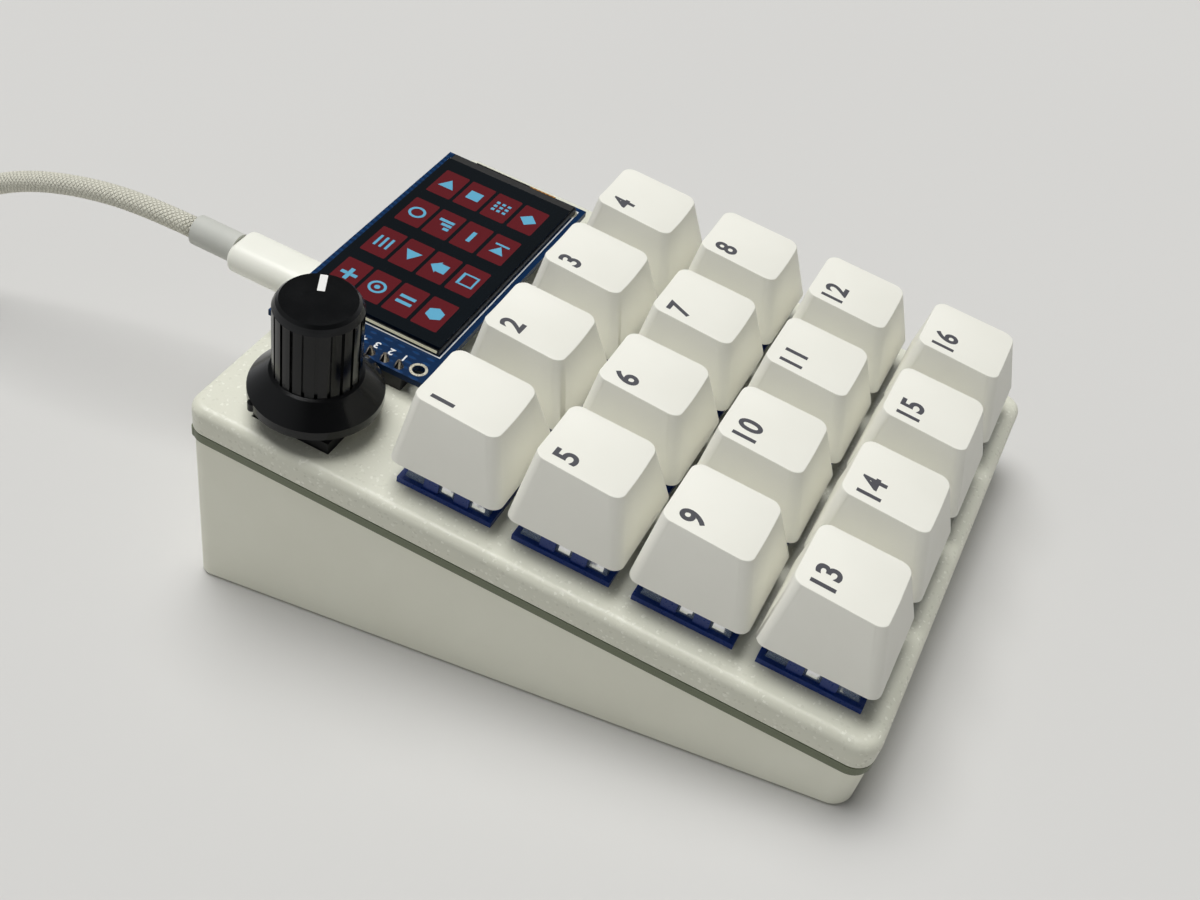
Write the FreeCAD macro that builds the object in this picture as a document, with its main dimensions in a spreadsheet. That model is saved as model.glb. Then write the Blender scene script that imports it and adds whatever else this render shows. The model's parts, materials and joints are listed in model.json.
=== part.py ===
"""Macro keypad: sixteen sprung keys, one push-and-turn knob and a small screen on a wedge case.

Sloped pieces are drawn in the plate's own frame: u to the user's right, v away from the user and
w square to the plate, with w = 0 on the plate's top and the origin at the middle of the key grid.
on_plate() then sets that frame into the part's frame, whose origin is on the table under the
middle of the case, +X to the user's right, +Y away from the user and +Z up.
"""
import FreeCAD, Part
import math
import os
import Sketcher

Vector = FreeCAD.Vector

# Driving dimensions, in millimetres, degrees and counts
SIZES = {
    # case and slope
    "slope_angle": 12.6,
    "front_height": 14.4,
    "side_margin": 3.3,
    "front_margin": 2.7,
    "plate_corner": 3.3,
    "plate_thick": 5.0,
    "plate_round": 1.5,
    "plate_lip": 0.25,
    "web_thick": 1.5,
    "case_wall": 2.4,
    "floor_thick": 2.4,
    "base_inset": 0.3,
    "base_chamfer": 0.5,
    "overrun": 1.0,
    # matrix board
    "board_thick": 1.6,
    "tab_radius": 0.9,
    "tab_proud": 0.2,
    "diode_length": 2.6,
    "diode_width": 1.4,
    "diode_height": 1.0,
    "diode_offset": 6.2,
    # screws and inserts
    "screw_radius": 1.25,
    "screw_clear": 0.15,
    "screw_head_radius": 2.25,
    "screw_head_height": 1.5,
    "screw_seat": 2.6,
    "screw_tip_gap": 0.4,
    "boss_wall": 1.2,
    "insert_radius": 1.75,
    "insert_length": 3.0,
    "back_screw_edge": 4.4,
    # key grid and switches
    "key_spacing": 19.05,
    "key_count": 4,
    "switch_cut": 14.0,
    "fit_gap": 0.05,
    "flange_side": 15.6,
    "flange_thick": 1.0,
    "housing_wall": 1.45,
    "housing_floor": 0.8,
    "clip_width": 2.4,
    "clip_thick": 0.35,
    "clip_height": 3.2,
    "clip_spread": 2.5,
    "post_radius": 1.95,
    "post_depth": 3.3,
    "hood_height": 6.6,
    "hood_top_side": 10.8,
    "hood_wall": 0.8,
    "stem_hole_across": 7.4,
    "stem_hole_along": 5.9,
    "contact_width": 1.2,
    "contact_thick": 0.5,
    "contact_reach": 3.3,
    "contact_near": 2.54,
    "contact_far": 5.08,
    "contact_side": 3.81,
    # stems and springs
    "key_travel": 4.0,
    "round_sides": 8,
    "stem_top": 10.2,
    "collar_across": 6.9,
    "collar_along": 5.4,
    "collar_height": 6.2,
    "shoulder_across": 8.6,
    "shoulder_along": 6.6,
    "shoulder_top": 5.5,
    "shoulder_foot": 1.4,
    "cross_span": 4.0,
    "cross_arm": 1.2,
    "spring_radius": 2.2,
    "spring_wire": 0.35,
    "spring_seat": 4.4,
    "guide_radius": 1.4,
    "travel_spare": 0.6,
    # keycaps
    "cap_foot": 5.1,
    "cap_side": 18.1,
    "cap_top_across": 12.3,
    "cap_top_along": 13.4,
    "cap_top_height": 15.9,
    "cap_top_shift": 1.0,
    "cap_top_tilt": 3.3,
    "cap_corner": 1.8,
    "cap_wall": 1.35,
    "cap_roof": 2.1,
    "dish_radius": 46.0,
    "socket_radius": 2.75,
    "socket_gap": 0.06,
    "socket_depth": 3.85,
    # encoder and knob
    "encoder_left": 10.4,
    "encoder_back": 16.3,
    "encoder_side": 13.0,
    "encoder_floor": 0.6,
    "encoder_gap": 0.2,
    "bushing_radius": 3.5,
    "bushing_height": 5.0,
    "shaft_radius": 3.0,
    "shaft_flat": 1.5,
    "shaft_flat_length": 9.0,
    "shaft_top": 16.8,
    "running_gap": 0.06,
    "press_gap": 0.02,
    "skirt_clear": 1.65,
    "plunger_height": 1.2,
    "press_travel": 0.5,
    "press_spare": 0.1,
    "knob_foot": 3.45,
    "skirt_radius": 10.05,
    "skirt_edge": 2.15,
    "skirt_rise": 2.85,
    "skirt_hollow_wall": 1.1,
    "grip_radius": 6.5,
    "grip_top": 20.2,
    "knob_top": 21.6,
    "knob_disc_radius": 5.55,
    "knob_bevel": 0.45,
    "knob_bore_top": 9.4,
    "knob_bore_gap": 0.9,
    "groove_count": 22,
    "groove_width": 0.5,
    "groove_depth": 0.42,
    "pointer_angle": 26.5,
    "pointer_start": 1.7,
    "pointer_end": 5.3,
    "pointer_width": 1.1,
    "pointer_depth": 0.15,
    "gate_angle": 146.0,
    "gate_radius": 0.75,
    "gate_proud": 0.45,
    "gate_height": 1.3,
    # display
    "screen_gap_left": 0.65,
    "screen_gap_front": 3.9,
    "screen_gap_right": 6.5,
    "screen_board_length": 55.2,
    "screen_board_width": 28.2,
    "screen_board_thick": 1.1,
    "screen_hole_radius": 1.0,
    "screen_hole_inset": 2.3,
    "screen_peg_side": 3.0,
    "pin_spacing": 2.54,
    "pin_count": 8,
    "pin_side": 0.64,
    "pin_inset": 1.3,
    "pin_tail": 6.0,
    "pin_proud": 0.9,
    "panel_inset_left": 6.8,
    "panel_inset_right": 1.5,
    "panel_inset_front": 1.4,
    "panel_inset_back": 1.7,
    "frame_thick": 0.95,
    "glass_thick": 0.6,
    "glass_inset": 0.2,
    "glass_ledge": 2.0,
    "cover_thick": 0.3,
    "flex_width": 16.2,
    "flex_sheet": 0.15,
    "flex_bulge": 0.5,
    # controller and plug
    "port_u": 4.2,
    "controller_width": 18.0,
    "controller_length": 33.0,
    "controller_thick": 1.0,
    "strip_width": 2.54,
    "chip_side": 7.0,
    "chip_thick": 0.9,
    "socket_width": 8.94,
    "socket_height": 3.26,
    "socket_length": 7.35,
    "socket_wall": 0.25,
    "tongue_width": 6.7,
    "tongue_thick": 0.7,
    "tongue_length": 5.2,
    "shell_width": 8.34,
    "shell_height": 2.56,
    "shell_wall": 0.3,
    "shell_length": 6.6,
    "plug_width": 9.2,
    "plug_height": 5.8,
    "plug_length": 26.5,
    "plug_gap": 0.1,
    "plug_bevel": 0.8,
    "plug_opening_gap": 0.4,
    "collar_radius": 2.85,
    "collar_length": 9.0,
    # cable
    "cable_radius": 2.0,
    "cable_sides": 6,
    "first_run": 12.0,
    "route_y_1": 111.3,
    "route_z_1": 37.4,
    "route_y_2": 127.1,
    "route_z_2": 35.2,
    "route_y_3": 142.2,
    "route_z_3": 29.7,
    "route_y_4": 155.1,
    "route_z_4": 20.3,
    "route_y_5": 167.2,
    "route_z_5": 13.3,
    "route_y_6": 178.6,
    "route_z_6": 9.4,
    "route_y_7": 190.4,
    "route_y_8": 200.4,
    "coil_mid_radius": 22.0,
    "coil_turns": 1,
    "coil_gap": 0.7,
    "tie_sheet": 0.5,
    "tie_width": 8.0,
    "tie_gap": 0.1,
    "tie_room": 0.3,
    "far_plug_length": 20.0,
}

doc = FreeCAD.newDocument("keypad")
sheet = doc.addObject("Spreadsheet::Sheet", "Sizes")
for row, (name, number) in enumerate(SIZES.items(), start=1):
    sheet.set(f"A{row}", name)
    sheet.set(f"B{row}", str(number))
    sheet.setAlias(f"B{row}", name)
doc.recompute()


class Size:
    """A number with the expression that it comes from, so that a size is both read and bound."""

    def __init__(self, value, text):
        self.value = value
        self.text = text

    def __add__(self, other):
        other = as_size(other)
        return Size(self.value + other.value, f"({self.text} + {other.text})")

    def __sub__(self, other):
        other = as_size(other)
        return Size(self.value - other.value, f"({self.text} - {other.text})")

    def __mul__(self, other):
        other = as_size(other)
        return Size(self.value * other.value, f"({self.text} * {other.text})")

    def __truediv__(self, other):
        other = as_size(other)
        return Size(self.value / other.value, f"({self.text} / {other.text})")

    def __neg__(self):
        return Size(-self.value, f"(0 - {self.text})")

    def __radd__(self, other):
        return as_size(other) + self

    def __rsub__(self, other):
        return as_size(other) - self

    def __rmul__(self, other):
        return as_size(other) * self


def as_size(thing):
    """The thing itself if it is a Size, or else the Size of a plain number."""
    return thing if isinstance(thing, Size) else Size(float(thing), repr(thing))


def size(name):
    """The sheet's value under this alias, with its expression."""
    return Size(float(getattr(sheet, name)), f"Sizes.{name}")


def turned(function, angle):
    """The sine, cosine or tangent of an angle in degrees."""
    number = getattr(math, function)(math.radians(angle.value))
    return Size(number, f"{function}({angle.text} * 1deg)")


def larger(first, second):
    """Whichever of two sizes is larger, with the expression that picks it."""
    text = f"({first.text} > {second.text} ? {first.text} : {second.text})"
    return Size(max(first.value, second.value), text)


slope_sine = turned("sin", size("slope_angle"))
slope_cosine = turned("cos", size("slope_angle"))
slope_tangent = turned("tan", size("slope_angle"))

# The plate holds the keys and, behind them, the knob and the screen side by side
field_side = size("key_spacing") * size("key_count") / 2
key_width = (field_side + size("side_margin")) * 2
deck_width = (
    size("encoder_left") + size("skirt_radius") + size("screen_gap_left")
    + size("screen_board_length") + size("screen_gap_right")
)
plate_width = larger(key_width, deck_width)
half_width = plate_width / 2
plate_front = field_side + size("front_margin")
screen_front = field_side + size("screen_gap_front")
plate_back = screen_front + size("screen_board_width")
encoder_u = size("encoder_left") - half_width
encoder_v = plate_back - size("encoder_back")
screen_left = encoder_u + size("skirt_radius") + size("screen_gap_left")
plate_rise = size("front_height") + plate_front * slope_sine
base_front = plate_front - size("base_inset")
base_back = plate_back - size("base_inset")
plate_round = size("plate_round")
front_reach = (plate_front - plate_round) * slope_cosine - plate_round * slope_sine + plate_round
base_drop = (plate_rise + base_back * slope_sine) * slope_tangent
back_reach = base_back * slope_cosine + base_drop - size("base_chamfer") * slope_sine
base_middle = (back_reach - front_reach) / 2
board_top = -size("plate_thick")
board_foot = board_top - size("board_thick")
tolerance_share = 1e-6
tolerance = plate_width.value * tolerance_share


def bind(thing, path, amount):
    """Bind one property of an object to a size."""
    thing.setExpression(path, as_size(amount).text)


def on_plate(thing, u=0, v=0, w=0):
    """Set a piece's own frame at u, v, w of the plate's frame and tilt it by the slope."""
    u, v, w = as_size(u), as_size(v), as_size(w)
    thing.Placement = FreeCAD.Placement(Vector(), FreeCAD.Rotation(Vector(1, 0, 0), 1))
    bind(thing, ".Placement.Rotation.Angle", size("slope_angle"))
    bind(thing, ".Placement.Base.x", u)
    bind(thing, ".Placement.Base.y", v * slope_cosine - w * slope_sine - base_middle)
    bind(thing, ".Placement.Base.z", v * slope_sine + w * slope_cosine + plate_rise)


def plate_matrix():
    """The placement that on_plate() binds at the plate's origin, as numbers."""
    place = Vector(0, -base_middle.value, plate_rise.value)
    return FreeCAD.Placement(place, FreeCAD.Rotation(Vector(1, 0, 0), size("slope_angle").value))


subparts = []


def subpart(thing, label):
    """Label an object with its node's name and list it for export."""
    thing.Label = label
    subparts.append(thing)
    return thing


def box(name, low, high):
    """A Part::Box between two corners, each of three sizes."""
    low = [as_size(number) for number in low]
    high = [as_size(number) for number in high]
    thing = doc.addObject("Part::Box", name)
    for side, path, start, end in zip(("Length", "Width", "Height"), "xyz", low, high):
        bind(thing, side, end - start)
        bind(thing, f".Placement.Base.{path}", start)
    return thing


def cylinder(name, centre, low, high, radius):
    """An upright Part::Cylinder from low to high over a centre of two sizes."""
    low = as_size(low)
    thing = doc.addObject("Part::Cylinder", name)
    bind(thing, "Radius", radius)
    bind(thing, "Height", high - low)
    bind(thing, ".Placement.Base.x", centre[0])
    bind(thing, ".Placement.Base.y", centre[1])
    bind(thing, ".Placement.Base.z", low)
    return thing


def rod(name, low, high, radius):
    """An upright Part::Prism that stands for a small round piece which is repeated out of sight."""
    low = as_size(low)
    thing = doc.addObject("Part::Prism", name)
    bind(thing, "Polygon", size("round_sides"))
    bind(thing, "Circumradius", radius)
    bind(thing, "Height", high - low)
    bind(thing, ".Placement.Base.z", low)
    return thing


def fuse(name, things):
    """A Part::MultiFuse of several objects."""
    thing = doc.addObject("Part::MultiFuse", name)
    thing.Shapes = things
    return thing


def cut(name, base, tool):
    """A Part::Cut of one object by another."""
    thing = doc.addObject("Part::Cut", name)
    thing.Base = base
    thing.Tool = tool
    return thing


def together(name, things):
    """A Part::Compound, which keeps its solids separate."""
    thing = doc.addObject("Part::Compound", name)
    thing.Links = things
    return thing


def copy_at(name, source, u, v, w=0):
    """A compound of one source object, set at u, v, w of the frame that the source is drawn in."""
    thing = together(name, [source])
    bind(thing, ".Placement.Base.x", u)
    bind(thing, ".Placement.Base.y", v)
    bind(thing, ".Placement.Base.z", w)
    return thing


def new_body(name):
    """An empty PartDesign body."""
    return doc.addObject("PartDesign::Body", name)


def origin_plane(body, role):
    """One of the three planes of a body's origin."""
    return [item for item in body.Origin.OriginFeatures if item.Role == role][0]


def new_sketch(body, name, role="XY_Plane", offset=0):
    """A sketch on one of the body's origin planes, lifted along the plane's normal."""
    sketch = body.newObject("Sketcher::SketchObject", name)
    sketch.AttachmentSupport = [(origin_plane(body, role), "")]
    sketch.MapMode = "FlatFace"
    bind(sketch, ".AttachmentOffset.Base.z", offset)
    return sketch


def pin_point(sketch, curve, point, x, y):
    """Hold one point of a curve at x, y of the sketch by two bound distances."""
    for kind, amount in (("DistanceX", as_size(x)), ("DistanceY", as_size(y))):
        index = sketch.addConstraint(Sketcher.Constraint(kind, -1, 1, curve, point, amount.value))
        bind(sketch, f"Constraints[{index}]", amount)


def polygon(sketch, points):
    """A closed outline of straight lines through points of two sizes each."""
    places = [Vector(as_size(x).value, as_size(y).value, 0) for x, y in points]
    first = sketch.GeometryCount
    for number, place in enumerate(places):
        following = places[(number + 1) % len(places)]
        sketch.addGeometry(Part.LineSegment(place, following), False)
    for number, (x, y) in enumerate(points):
        before = first + (number - 1) % len(points)
        sketch.addConstraint(Sketcher.Constraint("Coincident", before, 2, first + number, 1))
        pin_point(sketch, first + number, 1, x, y)


def rectangle(sketch, left, right, front, back):
    """A rectangle between two sizes across and two along."""
    polygon(sketch, [(left, front), (right, front), (right, back), (left, back)])


def circle(sketch, x, y, radius):
    """A circle whose centre and radius are bound."""
    x, y, radius = as_size(x), as_size(y), as_size(radius)
    curve = sketch.addGeometry(Part.Circle(Vector(x.value, y.value, 0), Vector(0, 0, 1), radius.value))
    pin_point(sketch, curve, 3, x, y)
    index = sketch.addConstraint(Sketcher.Constraint("Radius", curve, radius.value))
    bind(sketch, f"Constraints[{index}]", radius)


def facets(sketch, x, y, radius):
    """A polygon about a centre, turned as rod() is, for a small round hole or boss out of sight."""
    count = int(size("round_sides").value)
    corners = []
    for number in range(count):
        angle = as_size(360) * number / size("round_sides")
        corners.append((x + radius * turned("cos", angle), y + radius * turned("sin", angle)))
    polygon(sketch, corners)


def rounded_rectangle(sketch, left, right, front, back, radius):
    """A rectangle with four corner arcs, as four lines and four arcs joined by tangency."""
    left, right, front, back, radius = (as_size(n) for n in (left, right, front, back, radius))
    centres = [
        (right - radius, front + radius),
        (right - radius, back - radius),
        (left + radius, back - radius),
        (left + radius, front + radius),
    ]
    quarter = math.pi / 2
    arcs = []
    for number, (x, y) in enumerate(centres):
        start = (number - 1) * quarter
        ring = Part.Circle(Vector(x.value, y.value, 0), Vector(0, 0, 1), radius.value)
        arcs.append(sketch.addGeometry(Part.ArcOfCircle(ring, start, start + quarter)))
        pin_point(sketch, arcs[-1], 3, x, y)
        index = sketch.addConstraint(Sketcher.Constraint("Radius", arcs[-1], radius.value))
        bind(sketch, f"Constraints[{index}]", radius)
    for number, arc in enumerate(arcs):
        following = arcs[(number + 1) % 4]
        start = sketch.Geometry[arc].EndPoint
        end = sketch.Geometry[following].StartPoint
        line = sketch.addGeometry(Part.LineSegment(start, end))
        sketch.addConstraint(Sketcher.Constraint("Tangent", arc, 2, line, 1))
        sketch.addConstraint(Sketcher.Constraint("Tangent", line, 2, following, 1))


def pad(body, name, sketch, length, reverse=False):
    """A Pad of the sketch, against its normal if reversed."""
    feature = body.newObject("PartDesign::Pad", name)
    feature.Profile = sketch
    feature.Reversed = reverse
    bind(feature, "Length", length)
    return feature


def pocket(body, name, sketch, length, reverse=False, middle=False):
    """A Pocket of the sketch, along its normal if reversed, or both ways if middle."""
    feature = body.newObject("PartDesign::Pocket", name)
    feature.Profile = sketch
    feature.Reversed = reverse
    if middle:
        feature.SideType = "Symmetric"
    bind(feature, "Length", length)
    return feature


def edge_names(shape, wanted):
    """The names of the edges that a test picks."""
    return [f"Edge{i}" for i, edge in enumerate(shape.Edges, start=1) if wanted(edge)]


def round_edges(body, name, kind, base, wanted, radius):
    """A PartDesign fillet or chamfer of the edges of base that a test picks."""
    doc.recompute()
    feature = body.newObject(f"PartDesign::{kind}", name)
    feature.Base = (base, edge_names(base.Shape, wanted))
    bind(feature, "Radius" if kind == "Fillet" else "Size", radius)
    return feature


def level(place, axis="Z"):
    """A test for the edges whose every point lies at one place along an axis."""
    number = as_size(place).value

    def lies_there(edge):
        ends = (getattr(edge.BoundBox, f"{axis}Min"), getattr(edge.BoundBox, f"{axis}Max"))
        return all(abs(end - number) < tolerance for end in ends)

    return lies_there


def column(body, name, low, high, radius):
    """A PartDesign prism that stands for a small round piece which is repeated out of sight."""
    feature = body.newObject("PartDesign::AdditivePrism", name)
    feature.AttachmentSupport = [(origin_plane(body, "XY_Plane"), "")]
    feature.MapMode = "FlatFace"
    bind(feature, "Polygon", size("round_sides"))
    bind(feature, "Circumradius", radius)
    bind(feature, "Height", high - low)
    bind(feature, ".AttachmentOffset.Base.z", low)
    return feature


def taper(body, name, kind, low, high, foot, top):
    """A four-sided wedge from low to high, between two rectangles of left, right, front and back."""
    feature = body.newObject(f"PartDesign::{kind}Wedge", name)
    feature.AttachmentSupport = [(origin_plane(body, "XZ_Plane"), "")]
    feature.MapMode = "FlatFace"
    bind(feature, "Ymin", low)
    bind(feature, "Ymax", high)
    for number, (left, right, front, back) in (("", foot), ("2", top)):
        bind(feature, f"X{number}min", left)
        bind(feature, f"X{number}max", right)
        bind(feature, f"Z{number}min", -as_size(back))
        bind(feature, f"Z{number}max", -as_size(front))
    return feature


def key_centres():
    """The u, v centre of each key, by rows from the back and from the left in a row."""
    count = int(size("key_count").value)
    middle = (size("key_count") - 1) / 2
    for row in range(count):
        for column in range(count):
            yield (column - middle) * size("key_spacing"), (middle - row) * size("key_spacing")


def screw_centres():
    """Two screws between the keys at the front and two in the back corners."""
    front = -size("key_spacing")
    back = plate_back - size("back_screw_edge")
    side = half_width - size("back_screw_edge")
    yield -size("key_spacing"), front
    yield size("key_spacing"), front
    yield -side, back
    yield side, back


def pin_centres():
    """The u, v centre of each pin of the display's header."""
    middle = screen_front + size("screen_board_width") / 2
    across = screen_left + size("pin_inset")
    for number in range(int(size("pin_count").value)):
        yield across, middle + (number - (size("pin_count") - 1) / 2) * size("pin_spacing")


def square_hole(sketch, u, v, side, along=None):
    """A rectangle about a centre, square if only one side is given."""
    along = side if along is None else along
    rectangle(sketch, u - side / 2, u + side / 2, v - along / 2, v + along / 2)


def table_line(v, lift=0):
    """The w of a plane that lies level above the table, at v."""
    return (as_size(lift) - plate_rise - v * slope_sine) / slope_cosine


# Base shell: a prism square to the plate, hollowed, then cut level with the table
deep = -table_line(base_back) + size("overrun")
base_side = half_width - size("base_inset")
base_corner = size("plate_corner") - size("base_inset")
head_bore = size("screw_head_radius") + size("screw_clear")
boss_radius = head_bore + size("boss_wall")
port_w = board_foot - size("strip_width") - size("controller_thick") - size("socket_height") / 2

base = new_body("BaseShell")
outline = new_sketch(base, "BaseOutline", offset=board_foot)
rounded_rectangle(outline, -base_side, base_side, -base_front, base_back, base_corner)
pad(base, "BasePrism", outline, deep + board_foot, reverse=True)

cavity = new_sketch(base, "CavityProfile", role="YZ_Plane")
cavity_front = -base_front + size("case_wall")
cavity_back = base_back - size("case_wall")
polygon(cavity, [
    (cavity_front, board_foot + size("overrun")),
    (cavity_front, table_line(cavity_front, size("floor_thick"))),
    (cavity_back, table_line(cavity_back, size("floor_thick"))),
    (cavity_back, board_foot + size("overrun")),
])
pocket(base, "Cavity", cavity, (base_side - size("case_wall")) * 2, middle=True)

bosses = new_sketch(base, "BossCircles", offset=board_foot)
for u, v in screw_centres():
    facets(bosses, u, v, boss_radius)
pad(base, "Bosses", bosses, deep + board_foot, reverse=True)

shanks = new_sketch(base, "ShankCircles", offset=board_foot)
heads = new_sketch(base, "HeadCircles", offset=board_foot - size("screw_seat"))
for u, v in screw_centres():
    facets(shanks, u, v, size("screw_radius") + size("screw_clear"))
    circle(heads, u, v, head_bore)
pocket(base, "ShankHoles", shanks, deep)
pocket(base, "HeadHoles", heads, deep)

port = new_sketch(base, "PortOpening", role="XZ_Plane", offset=-(cavity_back - size("overrun")))
port_across = size("plug_width") / 2 + size("plug_opening_gap")
port_up = size("plug_height") / 2 + size("plug_opening_gap")
rounded_rectangle(
    port,
    size("port_u") - port_across,
    size("port_u") + port_across,
    port_w - port_up,
    port_w + port_up,
    size("plug_height") / 2,
)
pocket(base, "Port", port, size("case_wall") + size("overrun") * 2)

under = new_sketch(base, "TableProfile", role="YZ_Plane")
under_front = -base_front - size("overrun")
under_back = base_back + size("overrun")
polygon(under, [
    (under_front, table_line(under_front)),
    (under_front, -deep - size("overrun")),
    (under_back, -deep - size("overrun")),
    (under_back, table_line(under_back)),
])
level_cut = pocket(base, "TableCut", under, plate_width, middle=True)


def foot_rim(edge):
    """Whether an edge is on the outer rim of the face that stands on the table."""
    drops = [table_line(as_size(vertex.Point.y)).value - vertex.Point.z for vertex in edge.Vertexes]
    on_table = all(abs(drop) < tolerance for drop in drops)
    middle = edge.BoundBox.Center
    outside_u = abs(middle.x) > (base_side - base_corner).value
    outside_v = middle.y > (base_back - base_corner).value or middle.y < -(base_front - base_corner).value
    return on_table and (outside_u or outside_v)


round_edges(base, "FootChamfer", "Chamfer", level_cut, foot_rim, size("base_chamfer"))
on_plate(base)
subpart(base, "base_shell")

# Top plate: rounded above, hollow under the keys, with a boss for each insert
plate = new_body("TopPlate")
outline = new_sketch(plate, "PlateOutline", offset=board_top)
rounded_rectangle(
    outline, -half_width, half_width, -plate_front, plate_back, size("plate_corner")
)
slab = pad(plate, "Slab", outline, size("plate_thick"))
rounded = round_edges(plate, "TopRounding", "Fillet", slab, level(0), size("plate_round"))
round_edges(plate, "LipChamfer", "Chamfer", rounded, level(board_top), size("plate_lip"))

field = new_sketch(plate, "KeyField", offset=board_top)
rectangle(field, -field_side, field_side, -field_side, field_side)
recess_depth = size("plate_thick") - size("web_thick")
pocket(plate, "KeyFieldRecess", field, recess_depth, reverse=True)

insert_bosses = new_sketch(plate, "InsertBosses", offset=board_top)
insert_holes = new_sketch(plate, "InsertHoles", offset=board_top)
for u, v in screw_centres():
    facets(insert_holes, u, v, size("insert_radius") + size("fit_gap"))
for u, v in list(screw_centres())[:2]:
    facets(insert_bosses, u, v, size("insert_radius") + size("boss_wall"))
pad(plate, "InsertBossPads", insert_bosses, recess_depth)
pocket(plate, "InsertPockets", insert_holes, size("insert_length") + size("screw_tip_gap"), reverse=True)

openings = new_sketch(plate, "Openings", offset=board_top)
for u, v in key_centres():
    square_hole(openings, u, v, size("switch_cut"))
encoder_hole = size("encoder_side") + size("encoder_gap") * 2
square_hole(openings, encoder_u, encoder_v, encoder_hole)
header_length = size("pin_count") * size("pin_spacing")
header_u, first_pin_v = next(pin_centres())
header_v = screen_front + size("screen_board_width") / 2
square_hole(openings, header_u, header_v, size("pin_side") * 2, header_length)
pocket(plate, "OpeningPockets", openings, size("plate_thick") + size("overrun"), reverse=True)

pegs = new_sketch(plate, "ScreenPegs")
screen_right = screen_left + size("screen_board_length")
peg_u = screen_right - size("screen_peg_side")
for inset in (size("screen_peg_side"), size("screen_board_width") - size("screen_peg_side")):
    square_hole(pegs, peg_u, screen_front + inset, size("screen_peg_side"))
pad(plate, "ScreenPegPads", pegs, size("strip_width"))
on_plate(plate)
subpart(plate, "top_plate")

# Matrix board: the plate's outline, with holes for what passes it and its diodes underneath
board = new_body("MatrixBoard")
outline = new_sketch(board, "BoardOutline", offset=board_foot)
rounded_rectangle(
    outline, -half_width, half_width, -plate_front, plate_back, size("plate_corner")
)
pad(board, "BoardSlab", outline, size("board_thick"))

tab = new_sketch(board, "BreakTab", offset=board_foot)
diagonal_share = math.sqrt(1 / 2)
tab_reach = (size("plate_corner") + size("tab_proud") - size("tab_radius")) * diagonal_share
tab_u = -half_width + size("plate_corner") - tab_reach
tab_v = plate_back - size("plate_corner") + tab_reach
circle(tab, tab_u, tab_v, size("tab_radius"))
pad(board, "BreakTabPad", tab, size("board_thick"))

board_screw_holes = new_sketch(board, "BoardScrewHoles", offset=board_foot)
for u, v in screw_centres():
    facets(board_screw_holes, u, v, size("screw_radius") + size("screw_clear"))
pocket(
    board, "BoardScrewCuts", board_screw_holes, size("board_thick") + size("overrun"), reverse=True
)


def switch_blades(name, spare, low, high):
    """The two contact blades of a switch at the frame's origin, each widened by a spare."""
    half_across = size("contact_width") / 2 + spare
    half_along = size("contact_thick") / 2 + spare
    places = (
        (-size("contact_side"), size("contact_near")),
        (size("contact_near"), size("contact_far")),
    )
    return [
        box(
            f"{name}{number}",
            (u - half_across, v - half_along, low),
            (u + half_across, v + half_along, high),
        )
        for number, (u, v) in enumerate(places)
    ]


origin = (0, 0)
fit_gap = size("fit_gap")
post_hole = rod("PostHole", board_foot, board_top, size("post_radius") + fit_gap)
hole_set = together("HoleSet", [post_hole, *switch_blades("BladeHole", fit_gap, board_foot, board_top)])
half_pin = size("pin_side") / 2
pin_holes = [
    box(
        f"PinHole{number}",
        (u - half_pin - fit_gap, v - half_pin - fit_gap, board_foot),
        (u + half_pin + fit_gap, v + half_pin + fit_gap, board_top),
    )
    for number, (u, v) in enumerate(pin_centres())
]
hole_sets = [copy_at("HoleSetCopy", hole_set, u, v) for u, v in key_centres()]
drilled = cut("DrilledBoard", board, together("BoardHoles", hole_sets + pin_holes))
half_diode_u, half_diode_v = size("diode_length") / 2, size("diode_width") / 2
diode = box(
    "Diode",
    (-half_diode_u, -size("diode_offset") - half_diode_v, board_foot - size("diode_height")),
    (half_diode_u, -size("diode_offset") + half_diode_v, board_foot),
)
diodes = together("Diodes", [copy_at("DiodeCopy", diode, u, v) for u, v in key_centres()])
matrix_board = together("MatrixBoardPiece", [fuse("MatrixBoardSolid", [drilled, diodes])])
on_plate(matrix_board)
subpart(matrix_board, "matrix_board")

# Screws from below and the brass inserts that they turn into
seat = board_foot - size("screw_seat")
head = cylinder("ScrewHead", origin, seat - size("screw_head_height"), seat, size("screw_head_radius"))
shank_top = board_top + size("insert_length") - size("screw_tip_gap")
shank = rod("ScrewShank", seat, shank_top, size("screw_radius"))
socket = doc.addObject("Part::Prism", "ScrewSocket")
hexagon_sides = 6
socket.Polygon = hexagon_sides
bind(socket, "Circumradius", size("screw_radius"))
bind(socket, "Height", size("screw_head_height") / 2)
bind(socket, ".Placement.Base.z", seat - size("screw_head_height"))
screw = cut("Screw", fuse("ScrewBlank", [head, shank]), socket)

insert_top = board_top + size("insert_length")
insert_blank = rod("InsertBlank", board_top, insert_top, size("insert_radius"))
insert_bore = rod("InsertBore", board_top, insert_top, size("screw_radius") + size("fit_gap"))
insert = cut("Insert", insert_blank, insert_bore)

for source, label in ((screw, "case_screws"), (insert, "heat_set_inserts")):
    copies = [copy_at(f"{source.Name}Copy", source, u, v) for u, v in screw_centres()]
    group = together(f"{source.Name}Group", copies)
    on_plate(group)
    subpart(group, label)

# Switch: lower housing with flange, clips and centre post
housing_side = size("switch_cut") - size("fit_gap") * 2
half_housing = housing_side / 2
half_top = size("hood_top_side") / 2
hood_rise = size("hood_height") - size("flange_thick")


def hood_face(w):
    """How far the hood's tapered side stands from its middle, at w."""
    return half_housing - (half_housing - half_top) * (w - size("flange_thick")) / hood_rise


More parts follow.
